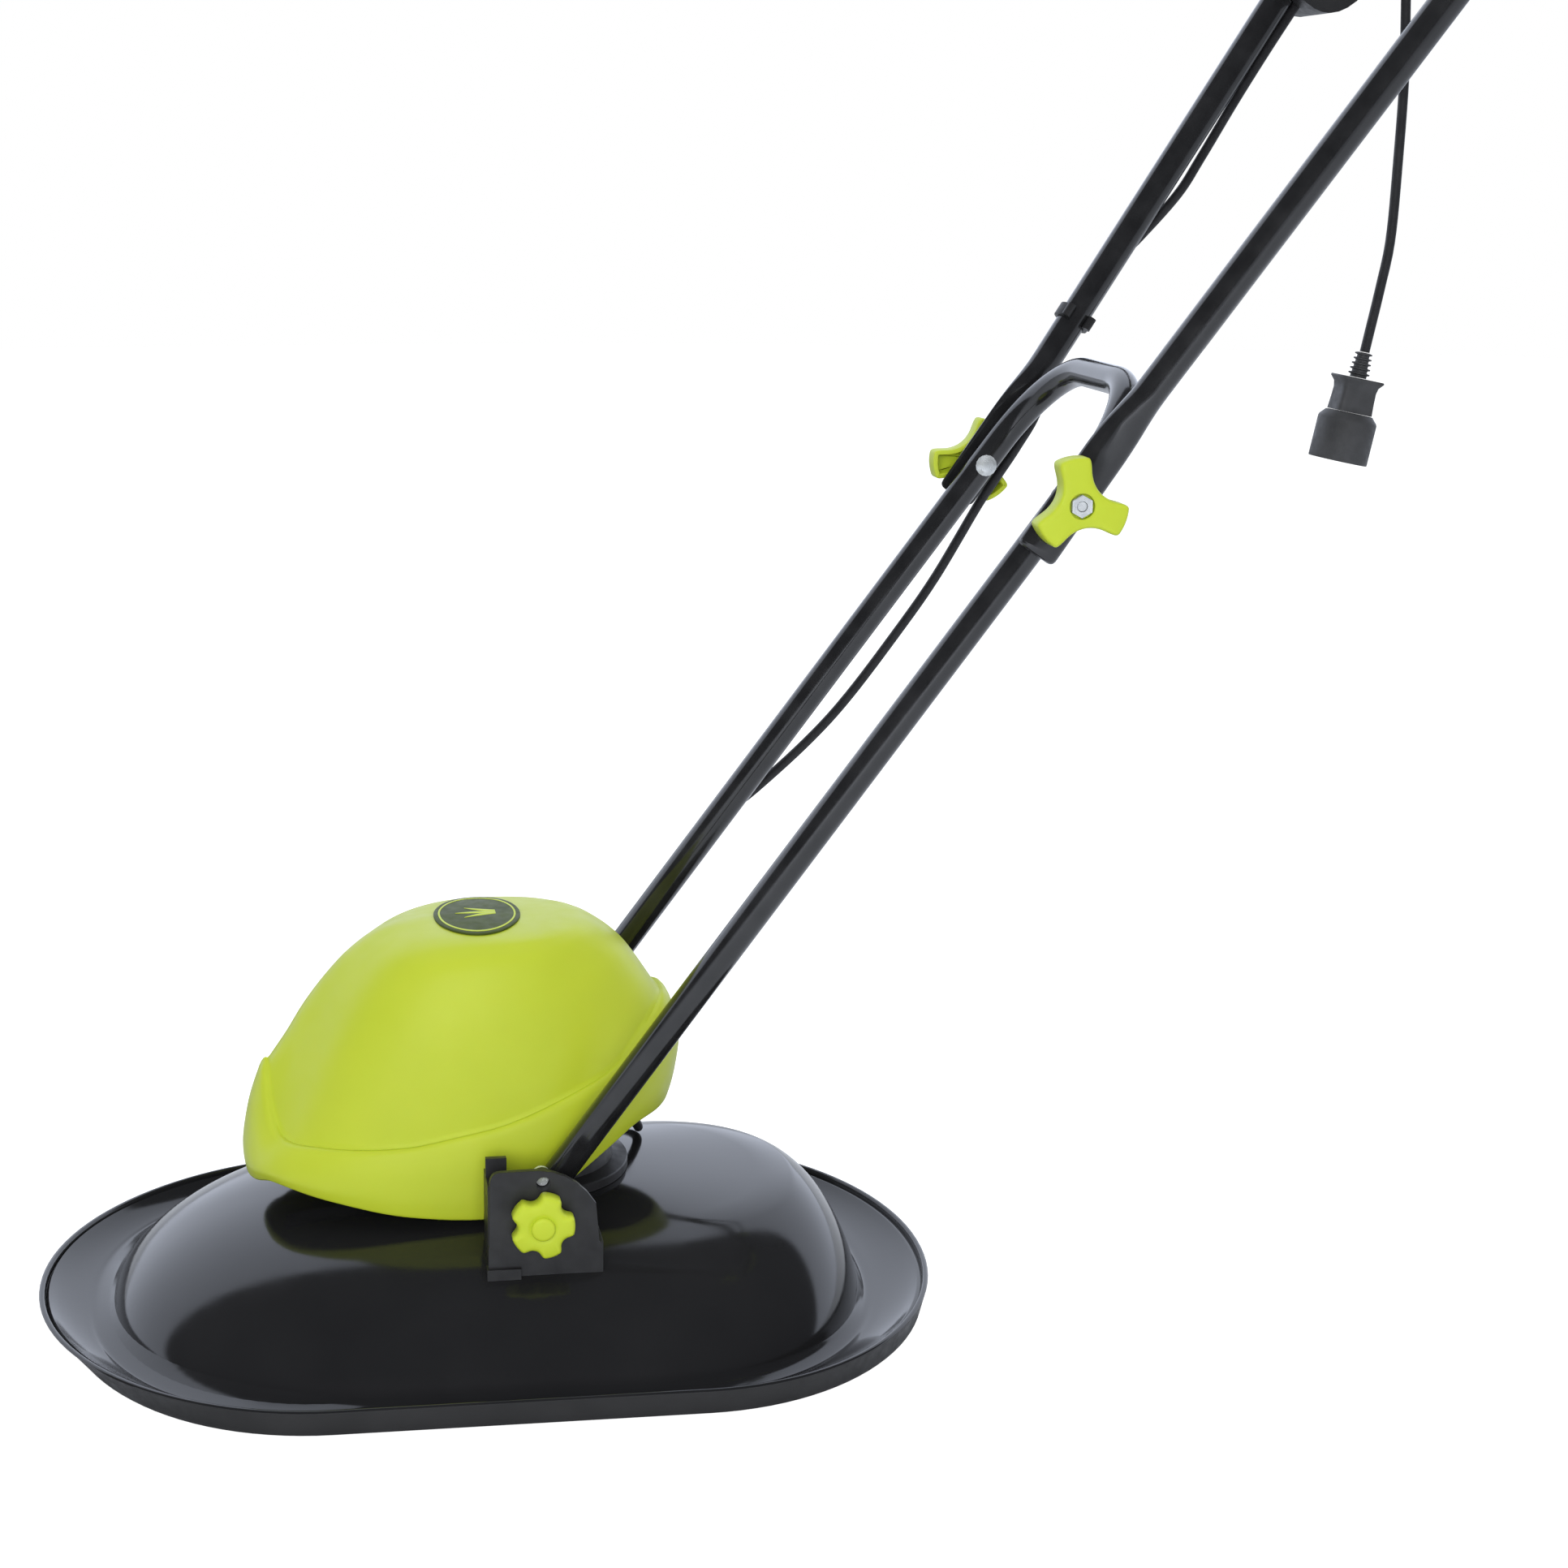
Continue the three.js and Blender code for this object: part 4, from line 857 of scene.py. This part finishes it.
def make_star_knob(name, sign):
    star = star_outline()
    count = len(star)
    rings = [
        (126.3, ring_of(4.4, count)), (126.3, ring_of(8.8, count)), (127.9, ring_of(9.2, count)),
        (128.1, inset(star, 1.6)), (128.4, inset(star, 0.6)), (129.2, star), (136.0, star),
        (137.6, inset(star, 0.3)), (138.7, inset(star, 1.0)), (139.4, inset(star, 2.2)),
        (139.7, ring_of(10.4, count)), (139.5, ring_of(8.7, count)), (139.0, ring_of(8.0, count)),
        (139.0, ring_of(7.4, count)), (140.7, ring_of(7.2, count)), (141.3, ring_of(6.6, count)),
        (141.6, ring_of(5.2, count)), (141.6, ring_of(0.05, count)), (138.0, ring_of(0.05, count)),
        (138.0, ring_of(4.4, count)),
    ]
    shape = grid(stacked(rings, (PIVOT_X, PIVOT_Z)), closed=True)
    shape = moved(shape, lambda x, y, z: (x, sign * y, z))
    piece(f"pivot_star_{name}", shape, f"pivot_knob_{name}", "lime", LIME_KNOB,
          stands_for=(f"pivot_knob_{name}",), sharp=40)


def make_wing_knob(name, sign):
    wing = wing_outline(NEAR_LOBE if sign < 0 else FAR_LOBE)
    count = len(wing)
    rings = [
        (127.0, ring_of(3.4, count)), (127.0, ring_of(7.7, count)), (130.5, ring_of(7.8, count)),
        (131.0, ring_of(8.3, count)), (131.0, inset(wing, 1.9)), (130.7, inset(wing, 1.1)),
        (129.9, inset(wing, 0.4)), (128.6, wing), (116.4, wing), (115.7, inset(wing, 0.3)),
        (115.4, inset(wing, 0.9)), (115.4, inset(wing, 2.9)), (116.0, inset(wing, 3.4)),
        (125.0, inset(wing, 3.6)), (126.0, inset(wing, 4.4)), (126.0, ring_of(8.7, count)),
        (116.0, ring_of(8.5, count)), (115.4, ring_of(8.0, count)), (115.4, ring_of(3.4, count)),
    ]
    shape = grid(stacked(rings, (BOLT_X, BOLT_Z)), closed=True)
    shape = moved(shape, lambda x, y, z: (x, sign * y, z))
    piece(f"clamp_wing_{name}", shape, f"clamp_knob_{name}", "lime", LIME_KNOB,
          stands_for=(f"clamp_knob_{name}",), sharp=40)


# ---------------------------------------------------------------- handle tubes
LOWER_BEND = 64
UPPER_BEND = 60
NEAR_END = 11  # how much further down the flattened end on the near side reaches


def round_bend(place, middle, radius, start, end, count=20):
    """Points round a bend in a handle's own plane."""
    return [
        place(middle[0] + radius * math.sin(a), 0, middle[1] + radius * math.cos(a))
        for a in arc(start, end, count)
    ]


def make_lower_handle():
    bend_up = LEG_LENGTH + 84 - LOWER_BEND
    across = LEG_Y - LOWER_BEND
    quarter = math.pi / 2
    route = [on_leg(16, 0, -LEG_Y), on_leg(16.6, 0, -LEG_Y)]
    route += round_bend(on_leg, (bend_up, -across), LOWER_BEND, math.pi, quarter)
    route += round_bend(on_leg, (bend_up, across), LOWER_BEND, quarter, 0)
    route += [on_leg(16.6, 0, LEG_Y), on_leg(16, 0, LEG_Y)]
    radii = [9.0] + [TUBE_R] * (len(route) - 2) + [9.0]
    piece("lower_tube", sweep(route, radii, 40, bore=8.1), "lower_frame", "black_tube", PAINT,
          stands_for=("lower_handle",), sharp=40)


def handle_ring(up, across, heading, half_wide, outer, inner, square, count=44):
    """A ring round the upper tube that bulges by outer and inner; the squarer, the flatter."""
    ring = []
    for a in full_turn(count):
        c, s = math.cos(a), math.sin(a)
        out = outer * s if s > 0 else inner * bent(s, square)
        behind = half_wide * bent(c, mix(square, 1, 0.5))
        ring.append(on_upper(up - out * math.sin(heading), behind, across + out * math.cos(heading)))
    return ring


def make_upper_handle():
    lean = math.atan((UPPER_TOP_Y - UPPER_LOW_Y) / UPPER_STRAIGHT)
    ends = [
        (-28.0, 107.6, 0, 9.6, 3.2, 0.5, 0.6), (-27.6, 107.6, 0, 11.2, 4.8, 0.5, 0.5),
        (-26.6, 107.6, 0, 12.6, 5.8, 0.5, 0.4), (-25.0, 107.6, 0, 13.3, 6.3, 0.5, 0.35),
        (-22.0, 107.6, 0, 13.5, 6.5, 0.5, 0.3), (-14.0, 107.6, 0, 13.5, 6.5, 0.5, 0.3),
        (24.0, 107.6, 0, 13.5, 6.5, 0.5, 0.3), (38.0, 107.9, 0, 13.4, 6.8, 0.8, 0.35),
        (52.0, 109.0, 0, 12.6, 7.2, 3.6, 0.6),
        (65.0, 110.5, lean, 11.2, 8.6, 8.0, 0.9), (76.0, 111.9, lean, 10.2, 9.8, 9.8, 1.0),
        (86.0, splay(86), lean, 10.0, 10.0, 10.0, 1.0),
    ]
    half = eased([handle_ring(*end) for end in ends], 4)
    bend_y = UPPER_TOP_Y - UPPER_BEND
    near_ends = [(up - NEAR_END, *rest) for up, *rest in ends[:5]]
    near = eased([handle_ring(*end) for end in near_ends + ends[5:]], 4)
    flattened = len(near)
    for a in arc(-lean, math.pi / 2, 26):
        up, across = UPPER_STRAIGHT + UPPER_BEND * math.sin(a), bend_y + UPPER_BEND * math.cos(a)
        half.append(handle_ring(up, across, -a, UPPER_R, UPPER_R, UPPER_R, 1))
    other = [[(x, -y, z) for x, y, z in ring] for ring in reversed(near + half[flattened:])]
    piece("upper_tube", grid(half + other, capped=True), "upper_frame", "black_tube", PAINT,
          stands_for=("upper_handle",), sharp=45)
    profile = [(9.9, -92), (14.2, -92), (14.9, -91.4), (15, -90.4)]
    profile += [(radius, -place) for radius, place in reversed(profile)]
    sleeve = lathe(profile, on_upper(UPPER_LENGTH, 0, 0), (0, 1, 0), 56)
    piece("grip_sleeve", sleeve, "upper_frame", "foam", FOAM, stands_for=("grip",), sharp=40)


make_lower_handle()
make_upper_handle()
for side_name, side_sign in (("left", -1), ("right", 1)):
    make_star_knob(side_name, side_sign)
    make_wing_knob(side_name, side_sign)


# ---------------------------------------------------------------- motor cable
CABLE_R = 3.25
CABLE_Y = 110.4


def beside_upper(up, behind, outward):
    """A place by distance outside the upper handle's tube."""
    return on_upper(up, behind, splay(up) + outward)


LOW_CABLE = [
    (80, 26, 127), (86, 30, 119), (93, 34, 108), (99, 40, 96), (103, 50, 86.5), (103, 64, 84),
    (98, 80, 83.5), (90, 90, 85), (81, 97, 89), (74, 101, 94.5), (70, 104.5, 98), (69, 107, 99),
    (69, 113, 99), (69.2, 117, 101.5), (70, 118.5, 108), (71.5, 117.5, 118), (74, 115, 132),
    on_leg(100, 0, 111.5),
    *[on_leg(up, behind, CABLE_Y) for up, behind in [
        (130, 0), (200, 0), (240, 4), (272, 13), (323, 23), (366, 27), (430, 27), (465, 25.5), (497, 22),
    ]],
]
HIGH_CABLE = [
    *[on_leg(up, behind, CABLE_Y) for up, behind in [(497, 22), (517.3, 19.5), (530, 18.3)]],
    on_upper(0, 17.5, CABLE_Y), on_upper(25, 17, CABLE_Y), on_upper(52, 15.5, 114),
    *[beside_upper(up, behind, out) for up, behind, out in [
        (85, 6, 12.4), (119, 3, 13.4), (160, 5, 13), (191, 11, 9), (231, 16, 3), (261, 16, 3),
        (308, 14.5, 3), (350, 13.5, 1), (382, 13.5, 0), (386, 13.5, 0),
    ]],
]


def make_cable():
    at_pivot = ("deck", "lower_frame", at(68, 102, 99), at(69, 118, 106))
    low = sweep(along(LOW_CABLE, step=4), CABLE_R, 20)
    piece("cable_to_leg", low, at_pivot, "cord_rubber", CABLE,
          stands_for=("motor_cable_base", "motor_cable_lower"))
    at_clamp = ("lower_frame", "upper_frame", at(*on_leg(505, 20, 0)), at(*on_upper(30, 17, 0)))
    high = sweep(along(HIGH_CABLE, step=4), CABLE_R, 20)
    piece("cable_to_switch", high, at_clamp, "cord_rubber", CABLE, stands_for=("motor_cable_upper",))


make_cable()

# ---------------------------------------------------------------- motor collar
COLLAR = [(45.8, 84.2), (66.3, 84.2), (66.3, 89.4), (65.7, 90.2), (56.4, 91.7), (54.4, 104),
          (53.8, 105.4), (50.4, 106.2), (45.8, 106.2)]
piece("collar_sleeve", lathe(COLLAR, (MOTOR_X, 0, 0), (0, 0, 1), 120), "deck", "satin_black", SATIN,
      stands_for=("motor_collar",), sharp=30)

# ---------------------------------------------------------------- pieces kept from the CAD
# Each with its material and the width of its broken edges.
for node, material, bevel in [
    ("motor_collar", SATIN, 0.8), ("cover_frame", SATIN, 0.4), ("bracket_left", SATIN, 0.7),
    ("bracket_right", SATIN, 0.7), ("stop_pin_left", ZINC, 0.2), ("stop_pin_right", ZINC, 0.2),
    ("handle_foot_left", SATIN, 0.6), ("handle_foot_right", SATIN, 0.6),
    ("clamp_bolt_left", ZINC, 0.2), ("clamp_bolt_right", ZINC, 0.2), ("clamp_nut_left", ZINC, 0.4),
    ("clamp_nut_right", ZINC, 0.4), ("switch_box", SATIN, 1.2), ("switch_box_lid", SATIN, 1.2),
    ("cable_clip", SATIN, 0.5), ("lock_button", LIME_KNOB, 0.8), ("switch_lever", LIME_KNOB, 0.8),
    ("pivot_bolt_left", ZINC, 0.2), ("pivot_bolt_right", ZINC, 0.2), ("impeller", LIME_KNOB, 0.4),
    ("blade", STEEL, 0.3), ("blade_spacer", SATIN, 0.4), ("blade_washer", ZINC, 0.3),
    ("blade_bolt", ZINC, 0.5), ("motor_foot_ring", SATIN, 0.3), ("stator_can", STEEL, 0.3),
    ("motor_end_cap", SATIN, 0.4), ("suppressor", LIME_KNOB, 0.5),
]:
    refined(node, material, bevel)

INSIDE = {
    "lower_bearing": STEEL, "upper_bearing": STEEL, "stator_core": STACK,
    "lower_field_winding": COPPER, "upper_field_winding": COPPER, "carbon_brush_left": SATIN,
    "carbon_brush_right": SATIN, "armature_shaft": STEEL, "armature_core": COPPER,
    "commutator": COPPER, "microswitch": SATIN,
}
for node, material in INSIDE.items():
    mesh = frame["nodes"][node].data
    mesh.materials.clear()
    mesh.materials.append(material)


# ---------------------------------------------------------------- light, backdrop and floor
# Where the bright wall's upper edge lies in a reflection: by direction behind, and lower to the sides.
WALL_SLOPE, WALL_REACH, WALL_FALL, WALL_SOFT = 1.35, 0.30, 0.45, 0.06
WALL_LIGHT, ROOM_LIGHT, SOFT_LIGHT = 1.6, 0.10, 0.62
FLOOR_GLOW = 0.86


def make_world():
    """White to the camera; in reflections a bright wall behind the mower and a dark room in front."""
    world = bpy.data.worlds.new("studio")
    bpy.context.scene.world = world
    world.use_nodes = True
    tree = world.node_tree
    tree.nodes.clear()

    def node(kind, **settings):
        made = tree.nodes.new(kind)
        for key, value in settings.items():
            setattr(made, key, value)
        return made

    def background(colour, strength):
        made = node("ShaderNodeBackground")
        made.inputs["Color"].default_value = (*colour, 1)
        made.inputs["Strength"].default_value = strength
        return made.outputs["Background"]

    def choose(factor, first, second):
        made = node("ShaderNodeMixShader")
        tree.links.new(factor, made.inputs["Fac"])
        tree.links.new(first, made.inputs[1])
        tree.links.new(second, made.inputs[2])
        return made.outputs["Shader"]

    path = node("ShaderNodeLightPath")
    parts = node("ShaderNodeSeparateXYZ")
    tree.links.new(node("ShaderNodeTexCoord").outputs["Generated"], parts.inputs["Vector"])
    edge = node("ShaderNodeMath", operation="MULTIPLY_ADD")
    edge.inputs[1].default_value, edge.inputs[2].default_value = WALL_SLOPE, WALL_SLOPE * WALL_REACH
    tree.links.new(parts.outputs["Y"], edge.inputs[0])
    aside = node("ShaderNodeMath", operation="ABSOLUTE")
    tree.links.new(parts.outputs["X"], aside.inputs[0])
    sunk = node("ShaderNodeMath", operation="MULTIPLY_ADD")
    sunk.inputs[1].default_value = WALL_FALL
    tree.links.new(aside.outputs["Value"], sunk.inputs[0])
    tree.links.new(parts.outputs["Z"], sunk.inputs[2])
    above = node("ShaderNodeMath", operation="SUBTRACT")
    tree.links.new(edge.outputs["Value"], above.inputs[0])
    tree.links.new(sunk.outputs["Value"], above.inputs[1])
    wall = node("ShaderNodeMapRange", interpolation_type="SMOOTHSTEP")
    wall.inputs["From Min"].default_value, wall.inputs["From Max"].default_value = -WALL_SOFT, WALL_SOFT
    tree.links.new(above.outputs["Value"], wall.inputs["Value"])
    dark, bright = background((0.8, 0.85, 1.0), ROOM_LIGHT), background((0.80, 0.86, 1.0), WALL_LIGHT)
    mirrored = choose(wall.outputs["Result"], dark, bright)
    soft = background((0.93, 0.96, 1.0), SOFT_LIGHT)
    lit = choose(path.outputs["Is Glossy Ray"], soft, mirrored)
    output = node("ShaderNodeOutputWorld")
    seen = choose(path.outputs["Is Camera Ray"], lit, background((1, 1, 1), 1.0))
    tree.links.new(seen, output.inputs["Surface"])


def make_floor():
    """A pale plain floor, white to the camera and bright in reflections."""
    look = Look("floor", Roughness=0.7, Specular_IOR_Level=0.0, Emission_Color=(1, 1, 1, 1))
    path = look.node("ShaderNodeLightPath")
    pale = look.colours(look.noise(2), (0.50, 0.50, 0.50), (0.54, 0.54, 0.54))
    mirrored = look.node("ShaderNodeMix", data_type="RGBA")
    mirrored.inputs["B"].default_value = (0.80, 0.83, 0.90, 1)
    look.link(path.outputs["Is Glossy Ray"], mirrored.inputs["Factor"])
    look.link(pale, mirrored.inputs["A"])
    look.paint(mirrored.outputs["Result"])
    glow = look.node("ShaderNodeMath", operation="MULTIPLY")
    glow.inputs[1].default_value = FLOOR_GLOW
    look.link(path.outputs["Is Camera Ray"], glow.inputs[0])
    look.link(glow.outputs["Value"], look.shader.inputs["Emission Strength"])
    mesh = bpy.data.meshes.new("floor")
    edge = [at(9000 * math.cos(a), 9000 * math.sin(a), -0.5) for a in arc(0, 2 * math.pi, 96)[:-1]]
    mesh.from_pydata(edge, [], [tuple(range(96))])
    floor = bpy.data.objects.new("floor", mesh)
    floor.data.materials.append(look.material)
    bpy.context.scene.collection.objects.link(floor)


def softbox(name, place, target, width, height, power):
    """A soft lamp that no gloss mirrors."""
    data = bpy.data.lights.new(name, "AREA")
    data.shape = "RECTANGLE"
    data.size, data.size_y = width, height
    data.energy = power
    lamp = bpy.data.objects.new(name, data)
    bpy.context.scene.collection.objects.link(lamp)
    lamp.location = at(*place)
    way = at(*target) - lamp.location
    lamp.rotation_euler = way.to_track_quat("-Z", "Y").to_euler()
    lamp.visible_glossy = False


bpy.context.scene.view_settings.view_transform = "Standard"
make_world()
make_floor()
softbox("overhead", (0, 300, 2600), (50, 0, 0), 3.2, 2.2, 18)
softbox("key", (-500, -2900, 1000), (0, 0, 250), 2.4, 1.6, 62)
softbox("rear", (1900, 1300, 1500), (100, 0, 300), 1.0, 1.6, 12)
